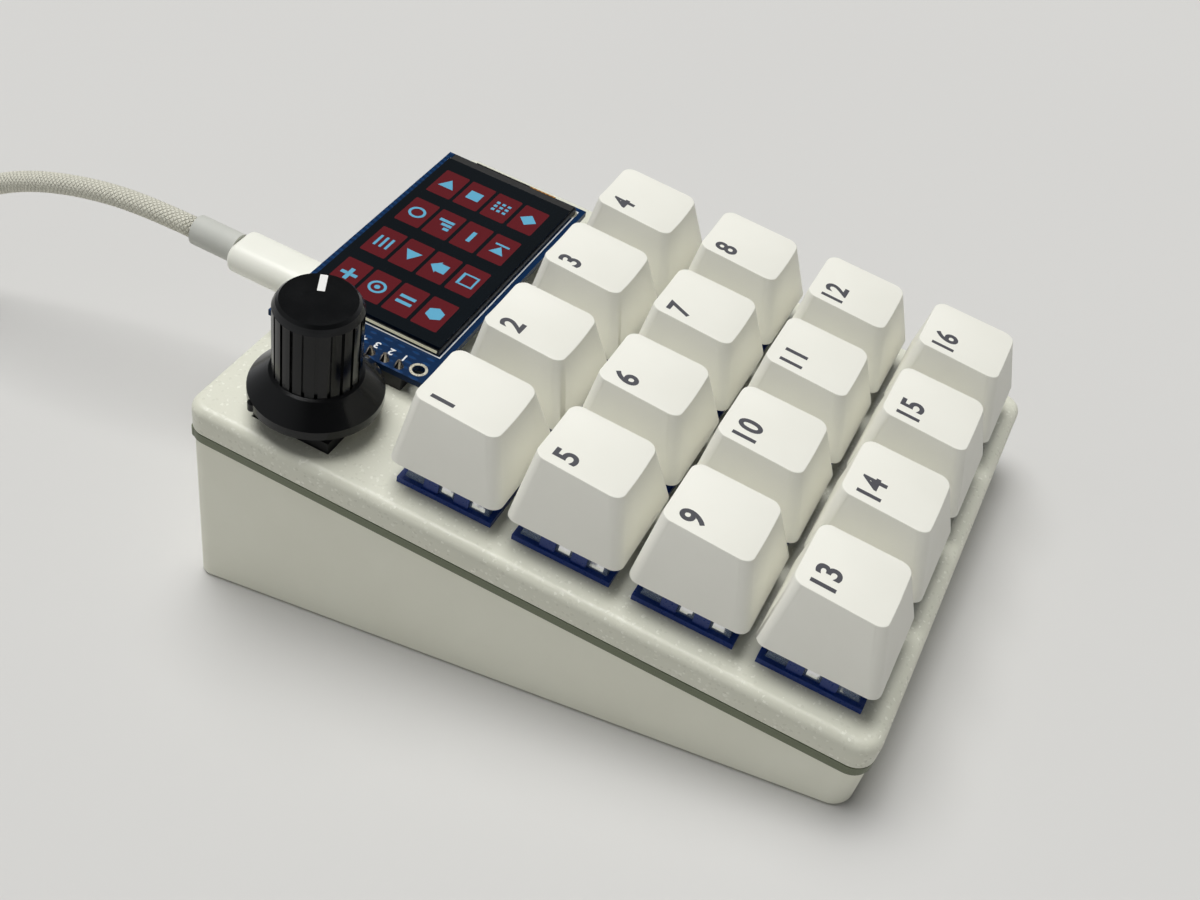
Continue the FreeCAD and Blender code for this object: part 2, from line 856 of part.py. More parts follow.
lower = new_body("LowerHousing")
sketch = new_sketch(lower, "HousingOutline", offset=board_top)
square_hole(sketch, as_size(0), as_size(0), housing_side)
pad(lower, "HousingPad", sketch, size("plate_thick"))
sketch = new_sketch(lower, "FlangeOutline")
square_hole(sketch, as_size(0), as_size(0), size("flange_side"))
pad(lower, "FlangePad", sketch, size("flange_thick"))
sketch = new_sketch(lower, "HousingCavity", offset=board_top + size("housing_floor"))
square_hole(sketch, as_size(0), as_size(0), housing_side - size("housing_wall") * 2)
pocket(lower, "HousingHollow", sketch, size("plate_thick") + size("overrun"), reverse=True)
column(lower, "Post", board_top - size("post_depth"), board_top, size("post_radius"))
clip_top = size("flange_thick") + size("clip_height")
for number, spread in enumerate((-size("clip_spread"), size("clip_spread"))):
    sketch = new_sketch(lower, f"ClipProfile{number}", role="XZ_Plane", offset=spread)
    for side in (-1, 1):
        foot_u = (hood_face(size("flange_thick")) + size("fit_gap")) * side
        top_u = (hood_face(clip_top) + size("fit_gap")) * side
        polygon(sketch, [
            (foot_u, size("flange_thick")),
            (foot_u + size("clip_thick") * side, size("flange_thick")),
            (top_u + size("clip_thick") * side, clip_top),
            (top_u, clip_top),
        ])
    clip = pad(lower, f"ClipPad{number}", sketch, size("clip_width"))
    clip.SideType = "Symmetric"

# Switch: the smoky upper housing, a tapered hood with a window for the stem
upper = new_body("UpperHousing")


def square(half):
    """The sides of a square about the middle, as taper() takes them."""
    return -half, half, -half, half


hood_wall = size("hood_wall")
hood_foot, hood_top = size("flange_thick"), size("hood_height")
taper(upper, "HoodOutside", "Additive", hood_foot, hood_top, square(half_housing), square(half_top))
taper(
    upper, "HoodInside", "Subtractive", hood_foot, hood_top - hood_wall,
    square(half_housing - hood_wall), square(half_top - hood_wall / 2),
)
sketch = new_sketch(upper, "StemWindow", offset=size("hood_height") - size("overrun"))
square_hole(sketch, as_size(0), as_size(0), size("stem_hole_across"), size("stem_hole_along"))
pocket(upper, "StemWindowCut", sketch, size("overrun") * 2, reverse=True)

# Switch: spring sleeve and the two contact blades
spring_foot = board_top + size("housing_floor")
spring_seat, spring_inner = size("spring_seat"), size("spring_radius") - size("spring_wire")
spring_solid = rod("SpringOutside", spring_foot, spring_seat, size("spring_radius"))
spring_void = rod("SpringInside", spring_foot, spring_seat, spring_inner)
spring = cut("Spring", spring_solid, spring_void)
blades = switch_blades("Blade", as_size(0), board_top - size("contact_reach"), board_top)
contacts = together("Contacts", blades)

for source, label in (
    (lower, "switch_lower_housings"),
    (upper, "switch_upper_housings"),
    (spring, "switch_springs"),
    (contacts, "switch_contacts"),
):
    copies = [copy_at(f"{source.Name}Copy", source, u, v) for u, v in key_centres()]
    group = together(f"{source.Name}Group", copies)
    on_plate(group)
    subpart(group, label)

# Stem: cross, collar, shoulder with the spring's seat, and the guide inside the spring
arm, span = size("cross_arm") / 2, size("cross_span") / 2
half_collar_u, half_collar_v = size("collar_across") / 2, size("collar_along") / 2
half_shoulder_u, half_shoulder_v = size("shoulder_across") / 2, size("shoulder_along") / 2
stem_blank = fuse("StemBlank", [
    box("CrossAcross", (-span, -arm, size("collar_height")), (span, arm, size("stem_top"))),
    box("CrossAlong", (-arm, -span, size("collar_height")), (arm, span, size("stem_top"))),
    box(
        "Collar", (-half_collar_u, -half_collar_v, size("shoulder_top")),
        (half_collar_u, half_collar_v, size("collar_height")),
    ),
    box(
        "Shoulder", (-half_shoulder_u, -half_shoulder_v, size("shoulder_foot")),
        (half_shoulder_u, half_shoulder_v, size("shoulder_top")),
    ),
])
spring_bore = size("spring_radius") + size("fit_gap") * 2
spring_room = rod("SpringRoom", size("shoulder_foot"), spring_seat, spring_bore)
guide_foot = spring_foot + size("key_travel") + size("travel_spare")
guide = rod("Guide", guide_foot, spring_seat, size("guide_radius"))
stem = fuse("Stem", [cut("StemShell", stem_blank, spring_room), guide])

# Keycap: a wedge with rounded corners, cut by a tilted dish, hollow, with a socket for the cross
cap = new_body("Keycap")
half_cap = size("cap_side") / 2
cap_across, cap_along = size("cap_top_across") / 2, size("cap_top_along") / 2
cap_foot, cap_top = size("cap_foot"), size("cap_top_height")
cap_blank_top = cap_top + size("overrun")


def cap_sides(height, wall=0):
    """The cap's left, right, front and back at a height, drawn in by a wall."""
    rise = (height - cap_foot) / (cap_top - cap_foot)
    across = half_cap - (half_cap - cap_across) * rise - wall
    along = half_cap - (half_cap - cap_along) * rise - wall
    shift = size("cap_top_shift") * rise
    return -across, across, shift - along, shift + along


def slanting(edge):
    """Whether an edge runs all the way up the blank of the cap."""
    return edge.BoundBox.ZLength > (cap_top - cap_foot).value


blank = taper(
    cap, "CapBlank", "Additive", cap_foot, cap_blank_top, cap_sides(cap_foot), cap_sides(cap_blank_top)
)
round_edges(cap, "CapCorners", "Fillet", blank, slanting, size("cap_corner"))

dish = new_sketch(cap, "DishCircle", role="XZ_Plane")
dish.AttachmentOffset = FreeCAD.Placement(Vector(), FreeCAD.Rotation(Vector(1, 0, 0), 1))
bind(dish, ".AttachmentOffset.Rotation.Angle", size("cap_top_tilt"))
bind(dish, ".AttachmentOffset.Base.y", cap_top)
bind(dish, ".AttachmentOffset.Base.z", -size("cap_top_shift"))
dish_depth = cap_across * cap_across / size("dish_radius") / 2
circle(dish, 0, size("dish_radius") - dish_depth, size("dish_radius"))
pocket(cap, "Dish", dish, size("cap_side") * 2, middle=True)

roof = cap_top - size("cap_roof")
wall = size("cap_wall")
taper(cap, "CapInside", "Subtractive", cap_foot, roof, cap_sides(cap_foot, wall), cap_sides(roof, wall))

socket_foot = size("stem_top") - size("socket_depth")
column(cap, "SocketPost", socket_foot, roof + size("fit_gap"), size("socket_radius"))
long_half, short_half = span + size("socket_gap"), arm + size("socket_gap")
for name, across, along in (("SlotAcross", long_half, short_half), ("SlotAlong", short_half, long_half)):
    sketch = new_sketch(cap, name, offset=socket_foot)
    rectangle(sketch, -across, across, -along, along)
    pocket(cap, f"{name}Cut", sketch, size("socket_depth") + size("socket_gap"), reverse=True)

for number, (u, v) in enumerate(key_centres(), start=1):
    for source, label in ((cap, "keycap"), (stem, "key_stem")):
        piece = together(f"{source.Name}{number:02d}", [source])
        on_plate(piece, u, v)
        subpart(piece, f"{label}_{number:02d}")

# Encoder: square body with a bore for the shaft, and a threaded-looking bushing above it
knob_axis = (encoder_u, encoder_v)
half_encoder = size("encoder_side") / 2
encoder_top = size("knob_foot") - size("skirt_clear")
shaft_room = size("shaft_radius") + size("running_gap")
bore_foot = board_top + size("encoder_floor")
encoder_block = box(
    "EncoderBlock",
    (knob_axis[0] - half_encoder, knob_axis[1] - half_encoder, board_top),
    (knob_axis[0] + half_encoder, knob_axis[1] + half_encoder, encoder_top),
)
encoder_bore = cylinder("EncoderBore", knob_axis, bore_foot, encoder_top, shaft_room)
encoder = cut("Encoder", encoder_block, encoder_bore)
bushing_top = encoder_top + size("bushing_height")
bushing_blank = cylinder("BushingBlank", knob_axis, encoder_top, bushing_top, size("bushing_radius"))
bushing_bore = cylinder("BushingBore", knob_axis, encoder_top, bushing_top, shaft_room)
bushing = cut("Bushing", bushing_blank, bushing_bore)

# The shaft stands on the plunger, which the knob presses down by its travel
shaft_foot = bore_foot + size("press_travel") + size("press_spare") + size("plunger_height")
plunger_foot = shaft_foot - size("plunger_height")
plunger = cylinder("Plunger", knob_axis, plunger_foot, shaft_foot, size("shaft_radius"))
shaft_rod = cylinder("ShaftRod", knob_axis, shaft_foot, size("shaft_top"), size("shaft_radius"))
flat_foot = size("shaft_top") - size("shaft_flat_length")
flat_face = knob_axis[0] + size("shaft_flat")
flat_side = knob_axis[0] + size("shaft_radius")


def flat_block(name, gap):
    """A block over the flat side of the shaft, set back by a gap."""
    return box(
        name,
        (flat_face + gap, knob_axis[1] - size("shaft_radius"), flat_foot),
        (flat_side + gap, knob_axis[1] + size("shaft_radius"), size("shaft_top") + gap),
    )


shaft = cut("Shaft", shaft_rod, flat_block("ShaftFlat", as_size(0)))

# Knob: a turned profile, then the hollow, the bore for the shaft, the grooves and the pointer
knob = new_body("Knob")
profile = new_sketch(knob, "KnobProfile", role="XZ_Plane")
skirt = size("skirt_radius")
grip = size("grip_radius")
cone_foot = size("knob_foot") + size("skirt_edge")
cone_top = cone_foot + size("skirt_rise")
hollow_top = size("knob_foot") + size("skirt_edge") - size("skirt_hollow_wall")
bore_radius = size("bushing_radius") + size("knob_bore_gap")
bevel = size("knob_bevel")
polygon(profile, [
    (bore_radius, hollow_top),
    (skirt - size("skirt_hollow_wall"), hollow_top),
    (skirt - size("skirt_hollow_wall"), size("knob_foot")),
    (skirt - bevel / 2, size("knob_foot")),
    (skirt, size("knob_foot") + bevel / 2),
    (skirt, cone_foot - bevel),
    (skirt - bevel, cone_foot),
    (grip + bevel, cone_top - bevel / 2),
    (grip, cone_top),
    (grip, size("grip_top")),
    (grip - bevel / 2, size("grip_top") + bevel),
    (size("knob_disc_radius") + bevel, size("knob_top") - bevel),
    (size("knob_disc_radius") + bevel / 2, size("knob_top") - bevel / 2),
    (size("knob_disc_radius"), size("knob_top")),
    (as_size(0), size("knob_top")),
    (as_size(0), size("knob_bore_top")),
    (bore_radius, size("knob_bore_top")),
])
turning = knob.newObject("PartDesign::Revolution", "KnobTurning")
turning.Profile = profile
turning.ReferenceAxis = (profile, ["V_Axis"])
turning.Angle = 360

bore = new_sketch(knob, "ShaftBore", offset=size("knob_bore_top"))
press_radius = size("shaft_radius") + size("press_gap")
circle(bore, 0, 0, press_radius)
bore_depth = size("shaft_top") + size("press_gap") - size("knob_bore_top")
pocket(knob, "ShaftBoreCut", bore, bore_depth, reverse=True)
key_flat = new_sketch(knob, "BoreFlat", offset=size("knob_bore_top"))
rectangle(
    key_flat, size("shaft_flat") + size("press_gap"), size("shaft_radius") + bevel,
    -size("shaft_radius"), size("shaft_radius"),
)
pad(knob, "BoreFlatPad", key_flat, size("shaft_top") + bevel - size("knob_bore_top"))

groove = new_sketch(knob, "Groove", offset=cone_top)
half_groove = size("groove_width") / 2
rectangle(groove, grip - size("groove_depth"), grip + bevel, -half_groove, half_groove)
groove_cut = pocket(knob, "GrooveCut", groove, size("grip_top") - cone_top, reverse=True)
grooves = knob.newObject("PartDesign::PolarPattern", "Grooves")
grooves.Originals = [groove_cut]
grooves.Axis = (groove, ["N_Axis"])
grooves.Angle = 360
bind(grooves, "Occurrences", size("groove_count"))
knob.Tip = grooves


def spun(sketch, angle, lift):
    """Turn a sketch about the knob's axis and lift it."""
    sketch.AttachmentOffset = FreeCAD.Placement(Vector(), FreeCAD.Rotation(Vector(0, 0, 1), 1))
    bind(sketch, ".AttachmentOffset.Rotation.Angle", angle)
    bind(sketch, ".AttachmentOffset.Base.z", lift)


pointer = new_sketch(knob, "Pointer")
spun(pointer, size("pointer_angle"), size("knob_top"))
half_pointer = size("pointer_width") / 2
rectangle(pointer, size("pointer_start"), size("pointer_end"), -half_pointer, half_pointer)
pocket(knob, "PointerCut", pointer, size("pointer_depth"))

gate = new_sketch(knob, "GateNub")
spun(gate, size("gate_angle"), size("knob_foot"))
circle(gate, skirt + size("gate_proud") - size("gate_radius"), 0, size("gate_radius"))
pad(knob, "GateNubPad", gate, size("gate_height"))

for thing, label in (
    (encoder, "encoder_body"),
    (bushing, "encoder_bushing"),
    (plunger, "encoder_plunger"),
    (shaft, "encoder_shaft"),
):
    piece = together(f"{thing.Name}Piece", [thing])
    on_plate(piece)
    subpart(piece, label)
on_plate(knob, *knob_axis)
subpart(knob, "knob")

# Screen: board on the header's plastic, frame, glass and the folded flex at its right end
board_low = size("strip_width")
board_high = board_low + size("screen_board_thick")
screen_back = screen_front + size("screen_board_width")
screen_board = new_body("ScreenBoard")
outline = new_sketch(screen_board, "ScreenOutline", offset=board_low)
rectangle(outline, screen_left, screen_right, screen_front, screen_back)
pad(screen_board, "ScreenSlab", outline, size("screen_board_thick"))
holes = new_sketch(screen_board, "ScreenHoles", offset=board_low)
inset = size("screen_hole_inset")
for u in (screen_left + inset, screen_right - inset):
    for v in (screen_front + inset, screen_back - inset):
        circle(holes, u, v, size("screen_hole_radius"))
for u, v in pin_centres():
    square_hole(holes, u, v, size("pin_side") + fit_gap * 2)
pocket(screen_board, "ScreenHoleCuts", holes, size("screen_board_thick") + size("overrun"), reverse=True)
on_plate(screen_board)
subpart(screen_board, "display_board")

half_strip = size("strip_width") / 2
strip = box(
    "HeaderStrip",
    (header_u - half_strip, header_v - header_length / 2, as_size(0)),
    (header_u + half_strip, header_v + header_length / 2, board_low),
)
pins = [
    box(
        f"HeaderPin{number}",
        (u - half_pin, v - half_pin, -size("pin_tail")),
        (u + half_pin, v + half_pin, board_high + size("pin_proud")),
    )
    for number, (u, v) in enumerate(pin_centres())
]
header = together("Header", [fuse("HeaderSolid", [strip, *pins])])
on_plate(header)
subpart(header, "display_header")

panel_left = screen_left + size("panel_inset_left")
panel_right = screen_right - size("panel_inset_right")
panel_front = screen_front + size("panel_inset_front")
panel_back = screen_back - size("panel_inset_back")
glass_low = board_high + size("frame_thick")
glass_high = glass_low + size("glass_thick")
glass_inset = size("glass_inset")
frame = together("PanelFrame", [box(
    "PanelFrameBlock", (panel_left, panel_front, board_high), (panel_right, panel_back, glass_low)
)])
glass_near, glass_far = panel_front + glass_inset, panel_back - glass_inset
glass_sheet = box(
    "GlassSheet",
    (panel_left + glass_inset, glass_near, glass_low),
    (panel_right - glass_inset, glass_far, glass_high - size("cover_thick")),
)
glass_cover = box(
    "GlassCover",
    (panel_left + glass_inset, glass_near, glass_high - size("cover_thick")),
    (panel_right - glass_inset - size("glass_ledge"), glass_far, glass_high),
)
glass = together("PanelGlass", [fuse("GlassSolid", [glass_sheet, glass_cover])])
flex_front = (panel_front + panel_back - size("flex_width")) / 2
flex_back = flex_front + size("flex_width")
flex_outer = box(
    "FlexOuter",
    (panel_right, flex_front, board_high),
    (panel_right + size("flex_bulge"), flex_back, glass_low),
)
flex_inner = box(
    "FlexInner",
    (panel_right, flex_front, board_high + size("flex_sheet")),
    (panel_right + size("flex_bulge") - size("flex_sheet"), flex_back, glass_low - size("flex_sheet")),
)
flex = together("Flex", [cut("FlexFold", flex_outer, flex_inner)])
for thing, label in ((frame, "display_frame"), (glass, "display_glass"), (flex, "display_flex")):
    on_plate(thing)
    subpart(thing, label)

# Controller under the matrix board, its strips, chip and socket
strip_foot = board_foot - size("strip_width")
controller_foot = strip_foot - size("controller_thick")
port_u = size("port_u")
half_controller = size("controller_width") / 2
controller_front = cavity_back - size("controller_length")
slab = box(
    "ControllerSlab",
    (port_u - half_controller, controller_front, controller_foot),
    (port_u + half_controller, cavity_back, strip_foot),
)
strips = []
for number, side in enumerate((-1, 1)):
    middle = port_u + (half_controller - half_strip) * side
    strips.append(box(
        f"ControllerStrip{number}",
        (middle - half_strip, controller_front, strip_foot),
        (middle + half_strip, cavity_back - size("socket_length"), board_foot),
    ))
half_chip = size("chip_side") / 2
chip_v = controller_front + size("controller_length") / 2
chip = box(
    "ControllerChip",
    (port_u - half_chip, chip_v - half_chip, controller_foot - size("chip_thick")),
    (port_u + half_chip, chip_v + half_chip, controller_foot),
)
controller = together("Controller", [fuse("ControllerSolid", [slab, *strips, chip])])
on_plate(controller)
subpart(controller, "controller_board")


def stadium(name, width, height, start, end):
    """A body with one round-ended outline across the port's axis, padded from start to end of v."""
    body = new_body(name)
    sketch = new_sketch(body, f"{name}Outline", role="XZ_Plane", offset=-end)
    half, up = width / 2, height / 2
    round_end = up - size("fit_gap") / 2
    rounded_rectangle(sketch, port_u - half, port_u + half, port_w - up, port_w + up, round_end)
    pad(body, f"{name}Pad", sketch, end - start)
    return body


socket_front = cavity_back - size("socket_length")
wall = size("socket_wall")
socket_shell = cut(
    "SocketShell",
    stadium("SocketOutside", size("socket_width"), size("socket_height"), socket_front, cavity_back),
    stadium(
        "SocketInside", size("socket_width") - wall * 2, size("socket_height") - wall * 2,
        socket_front + wall * 2, cavity_back + wall,
    ),
)
half_tongue = size("tongue_width") / 2
tongue = box(
    "SocketTongue",
    (port_u - half_tongue, socket_front + wall, port_w - size("tongue_thick") / 2),
    (port_u + half_tongue, socket_front + size("tongue_length"), port_w + size("tongue_thick") / 2),
)
usb_socket = together("UsbSocket", [fuse("SocketSolid", [socket_shell, tongue])])
on_plate(usb_socket)
subpart(usb_socket, "usb_socket")

# Plug in the socket: hollow shell, overmould with rounded end, and the cable's collar
plug_front = cavity_back + size("plug_gap")
plug_back = plug_front + size("plug_length")
shell_wall = size("shell_wall")
shell_front = plug_front - size("shell_length")


def plug_pieces(prefix, front, length):
    """The shell, overmould and collar of one plug, along the port's axis."""
    back = front + length
    shell = cut(
        f"{prefix}Shell",
        stadium(f"{prefix}ShellOutside", size("shell_width"), size("shell_height"), shell_front, front),
        stadium(
            f"{prefix}ShellInside", size("shell_width") - shell_wall * 2,
            size("shell_height") - shell_wall * 2, shell_front - shell_wall, front - shell_wall,
        ),
    )
    mould = stadium(f"{prefix}Mould", size("plug_width"), size("plug_height"), front, back)
    round_edges(mould, f"{prefix}MouldEnd", "Chamfer", mould.Tip, level(back, "Y"), size("plug_bevel"))
    end = new_body(f"{prefix}Collar")
    sketch = new_sketch(end, f"{prefix}CollarCircle", role="XZ_Plane", offset=-(back + size("collar_length")))
    circle(sketch, port_u, port_w, size("collar_radius"))
    pad(end, f"{prefix}CollarPad", sketch, size("collar_length"))
    return shell, mould, end


plug_shell, plug_body, plug_collar = plug_pieces("Plug", plug_front, size("plug_length"))
for thing, label in ((plug_shell, "plug_shell"), (plug_body, "plug_body"), (plug_collar, "plug_collar")):
    piece = together(f"{thing.Name}Piece", [thing])
    on_plate(piece)
    subpart(piece, label)

# Cable: a route of straight runs and tangent arcs from the collar down to a tied coil
layer_pitch = size("cable_radius") * 2 + size("coil_gap")
coil_outer = size("coil_mid_radius") + size("coil_turns") * layer_pitch / 2
coil_low = size("plug_height") / 2
port_axis = Vector(0, slope_cosine.value, slope_sine.value)
tube_radius = size("cable_radius").value
pitch = layer_pitch.value
high_layer = coil_low.value + pitch


def arc_between(start, corner, end):
    """The arc that leaves start towards corner and reaches end from corner."""
    middle = (start + end) / 2
    half_chord = (end - start).Length / 2
    half_turn = math.atan2((corner - middle).Length, half_chord)
    crest = middle + (corner - middle).normalize() * half_chord * math.tan(half_turn / 2)
    return Part.Arc(start, crest, end).toShape()


def tube(path, start, direction):
    """A solid tube of the cable's radius and count of sides along a list of edges."""
    sides = int(size("cable_sides").value)
    ring = Part.makeCircle(tube_radius, start, direction)
    points = ring.discretize(sides + 1)
    return Part.Wire(path).makePipeShell([Part.makePolygon(points)], True, False)


collar_end = plate_matrix().multVec(
    Vector(port_u.value, (plug_back + size("collar_length")).value, port_w.value)
)
route = [collar_end, collar_end + port_axis * size("first_run").value]
lengthwise = [size(name).value for name in SIZES if name.startswith("route_y_")]
heights = [size(name).value for name in SIZES if name.startswith("route_z_")]
heights += [high_layer] * (len(lengthwise) - len(heights))
route += [Vector(port_u.value, y, z) for y, z in zip(lengthwise, heights)]

arc_share = 0.45
cable_edges = []
corner_radii = []
reached = route[0]
for before, corner, after in zip(route, route[1:], route[2:]):
    inward, outward = (corner - before), (after - corner)
    reach = arc_share * min(inward.Length, outward.Length)
    arc_start = corner - inward.normalize() * reach
    arc_end = corner + outward.normalize() * reach
    cable_edges.append(Part.LineSegment(reached, arc_start).toShape())
    cable_edges.append(arc_between(arc_start, corner, arc_end))
    corner_radii.append(round(cable_edges[-1].Curve.Radius, 1))
    reached = arc_end
cable_edges.append(Part.LineSegment(reached, route[-1]).toShape())
print("cable radii in mm:", corner_radii)

# Coil: a layer spirals in, the tube climbs down in the half turn of the reversal, a layer spirals out
turns = int(size("coil_turns").value)
layer_sweep = turns * 2 * math.pi
rate = pitch / (2 * math.pi)
outer_radius = coil_outer.value
coil_start = route[-1] + Vector(0, tube_radius * 2, 0)
coil_centre = coil_start - Vector(outer_radius, 0, high_layer)


def coil_state(angle):
    """The point and the direction of the coil's middle line after an angle."""
    into = min(max(angle - layer_sweep, 0), math.pi)
    share = into / math.pi
    radius = outer_radius - rate * min(angle, layer_sweep)
    radius += rate * (into * into / math.pi - into)
    radius += rate * max(angle - layer_sweep - math.pi, 0)
    growth = rate * (2 * share - 1)
    height = high_layer - pitch * share * share * (3 - 2 * share)
    climb = -pitch * 6 * share * (1 - share) / math.pi
    outward = Vector(math.cos(angle), math.sin(angle), 0)
    around = Vector(-math.sin(angle), math.cos(angle), 0)
    direction = outward * growth + around * radius + Vector(0, 0, climb)
    return coil_centre + outward * radius + Vector(0, 0, height), direction.normalize()


def biarc(start, start_way, end, end_way):
    """Two tangent arcs from one point and direction to another."""
    chord = end - start
    both = start_way + end_way
    bend = 2 * (start_way.dot(end_way) - 1)
    along = -2 * chord.dot(both)
    reach = (-along - math.sqrt(along * along - 4 * bend * chord.dot(chord))) / (2 * bend)
    first, last = start + start_way * reach, end - end_way * reach
    joint = (first + last) / 2
    return [arc_between(start, first, joint), arc_between(joint, last, end)]


steps = [math.pi * number for number in range(turns * 2 + 1)]
steps.append(layer_sweep + math.pi / 2)
steps += [layer_sweep + math.pi * number for number in range(1, turns * 2 + 2)]
states = [coil_state(angle) for angle in steps]
states[0] = (states[0][0], Vector(0, 1, 0))
states[-1] = (states[-1][0], Vector(0, -1, 0))
coil_edges = [Part.LineSegment(route[-1], states[0][0]).toShape()]
for (start, start_way), (end, end_way) in zip(states, states[1:]):
    coil_edges += biarc(start, start_way, end, end_way)
coil_end = states[-1][0] - Vector(0, tube_radius * 2, 0)
coil_edges.append(Part.LineSegment(states[-1][0], coil_end).toShape())

for name, label, edges in (("Cable", "cable", cable_edges), ("CableCoil", "cable_coil", coil_edges)):
    first = edges[0]
    way = first.tangentAt(first.FirstParameter)
    piece = doc.addObject("Part::Feature", name)
    piece.Shape = tube(edges, first.firstVertex(True).Point, way)
    length = sum(edge.Length for edge in edges)
    sides = size("cable_sides").value
    section = tube_radius * tube_radius * math.sin(2 * math.pi / sides) * sides / 2
    expected = section * length
    print(label, "length", round(length, 1), "volume share", round(piece.Shape.Volume / expected, 4))
    subpart(piece, label)

coil_points = []
travelled = 0.0
for edge in coil_edges:
    count = math.ceil(edge.Length * 2 / tube_radius)
    for point in edge.discretize(count + 1)[:-1]:
        coil_points.append((travelled, point))
        travelled += edge.Length / count
near = pitch * turns
least = min(
    (second - first).Length
    for first_at, first in coil_points
    for second_at, second in coil_points
    if second_at - first_at > near
)
print("least gap of the coil to itself in mm:", round(least - tube_radius * 2, 2))

# Strap round the coil's turns where no tube climbs, three quarters of a turn from the cable's side
tie_share = 0.75
centre_u = port_u - coil_outer
centre_y = size("route_y_8") + size("cable_radius") * 2
tie_outer = coil_outer - tie_share * layer_pitch + size("cable_radius") + size("tie_room")
tie_inner = coil_outer - (size("coil_turns") - 1 + tie_share) * layer_pitch - size("cable_radius")
tie_inner = tie_inner - size("tie_width") * size("tie_width") / tie_inner / 8 - size("tie_room")
tie_low = coil_low - size("cable_radius") - size("tie_gap")
tie_high = coil_low + layer_pitch + size("cable_radius") + size("tie_gap")
tie_sheet = size("tie_sheet")
half_tie = size("tie_width") / 2
tie = together("CableTie", [cut(
    "TieStrap",
    box(
        "TieOutside",
        (centre_u - half_tie, centre_y - tie_outer - tie_sheet, tie_low - tie_sheet),
        (centre_u + half_tie, centre_y - tie_inner + tie_sheet, tie_high + tie_sheet),
    ),
    box(
        "TieInside",
        (centre_u - half_tie, centre_y - tie_outer, tie_low),
        (centre_u + half_tie, centre_y - tie_inner, tie_high),
    ),
)])
subpart(tie, "cable_tie")

# The plug on the cable's far end, lying on the table beside the coil
far_pieces = plug_pieces("FarPlug", plug_front, size("far_plug_length"))
far_plug = together("FarPlug", list(far_pieces))
far_end_v = plug_front + size("far_plug_length") + size("collar_length")
bind(far_plug, ".Placement.Base.x", -coil_outer * 2)
bind(far_plug, ".Placement.Base.y", size("route_y_8") - far_end_v)
bind(far_plug, ".Placement.Base.z", coil_low - port_w)
subpart(far_plug, "far_plug")

doc.recompute()
for item in doc.Objects:
    if any(flag in item.State for flag in ("Invalid", "Error")):
        raise RuntimeError(f"{item.Name} ({item.Label}) did not build: {item.State}")
os.makedirs("parts", exist_ok=True)
for piece in subparts:
    shape = piece.Shape
    if shape.isNull() or not shape.isValid():
        raise RuntimeError(f"{piece.Label} has no valid shape")
    shape.exportStep(f"parts/{piece.Label}.step")
print(len(subparts), "sub-parts written")
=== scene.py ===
import json
import math

import bmesh
import bpy
from mathutils import Matrix, Vector


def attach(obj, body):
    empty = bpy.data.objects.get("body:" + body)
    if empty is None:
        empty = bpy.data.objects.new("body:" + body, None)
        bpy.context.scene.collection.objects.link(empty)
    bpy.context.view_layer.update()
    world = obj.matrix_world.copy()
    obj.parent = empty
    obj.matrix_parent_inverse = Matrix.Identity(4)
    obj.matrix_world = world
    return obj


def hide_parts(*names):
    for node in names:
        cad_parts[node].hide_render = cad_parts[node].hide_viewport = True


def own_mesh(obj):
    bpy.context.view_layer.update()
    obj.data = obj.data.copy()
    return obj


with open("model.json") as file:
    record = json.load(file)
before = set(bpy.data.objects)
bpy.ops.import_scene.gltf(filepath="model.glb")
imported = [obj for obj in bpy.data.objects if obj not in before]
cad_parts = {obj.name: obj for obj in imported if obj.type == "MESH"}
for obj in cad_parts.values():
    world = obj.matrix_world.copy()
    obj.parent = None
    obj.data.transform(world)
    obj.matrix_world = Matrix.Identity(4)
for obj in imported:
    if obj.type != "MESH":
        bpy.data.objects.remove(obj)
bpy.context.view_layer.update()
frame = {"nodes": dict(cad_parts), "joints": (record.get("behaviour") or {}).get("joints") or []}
nodes = frame["nodes"]
joints = {joint["name"]: joint for joint in frame["joints"]}
mm = 0.001
keyNames = [f"{number:02d}" for number in range(1, 17)]
print("frame loaded:", len(nodes), "nodes")


# The sloped plate's own frame: u to the right, v to the back, w square to the plate

plate = {
    "knobPlace": (-31.0, 53.9),  # where the knob's axis meets the plate, in mm
    "keyPitch": 19.05,
}
outward = Vector(joints["knob_turn"]["axis"])
slope = math.atan2(-outward.y, outward.z)
tilt = Matrix.Rotation(slope, 4, "X")
knobFoot = tilt @ Vector((plate["knobPlace"][0] * mm, plate["knobPlace"][1] * mm, 0))
plateMatrix = Matrix.Translation(Vector(joints["knob_turn"]["pos_m"]) - knobFoot) @ tilt


def onPlate(u, v, w):
    return plateMatrix @ Vector((u * mm, v * mm, w * mm))


def keyPlaces():
    for row in range(4):
        for column in range(4):
            yield (column - 1.5) * plate["keyPitch"], (1.5 - row) * plate["keyPitch"]


# Camera: it comes before the cord

camera = {
    "place": (-154.35, -77.84, 161.61),  # mm
    "azimuth": 62.504,  # degrees from +Y towards +X
    "drop": 40.33,  # degrees below level
    "roll": -2.198,
    "lens": 41.01,
    "sensor": 36.0,
}


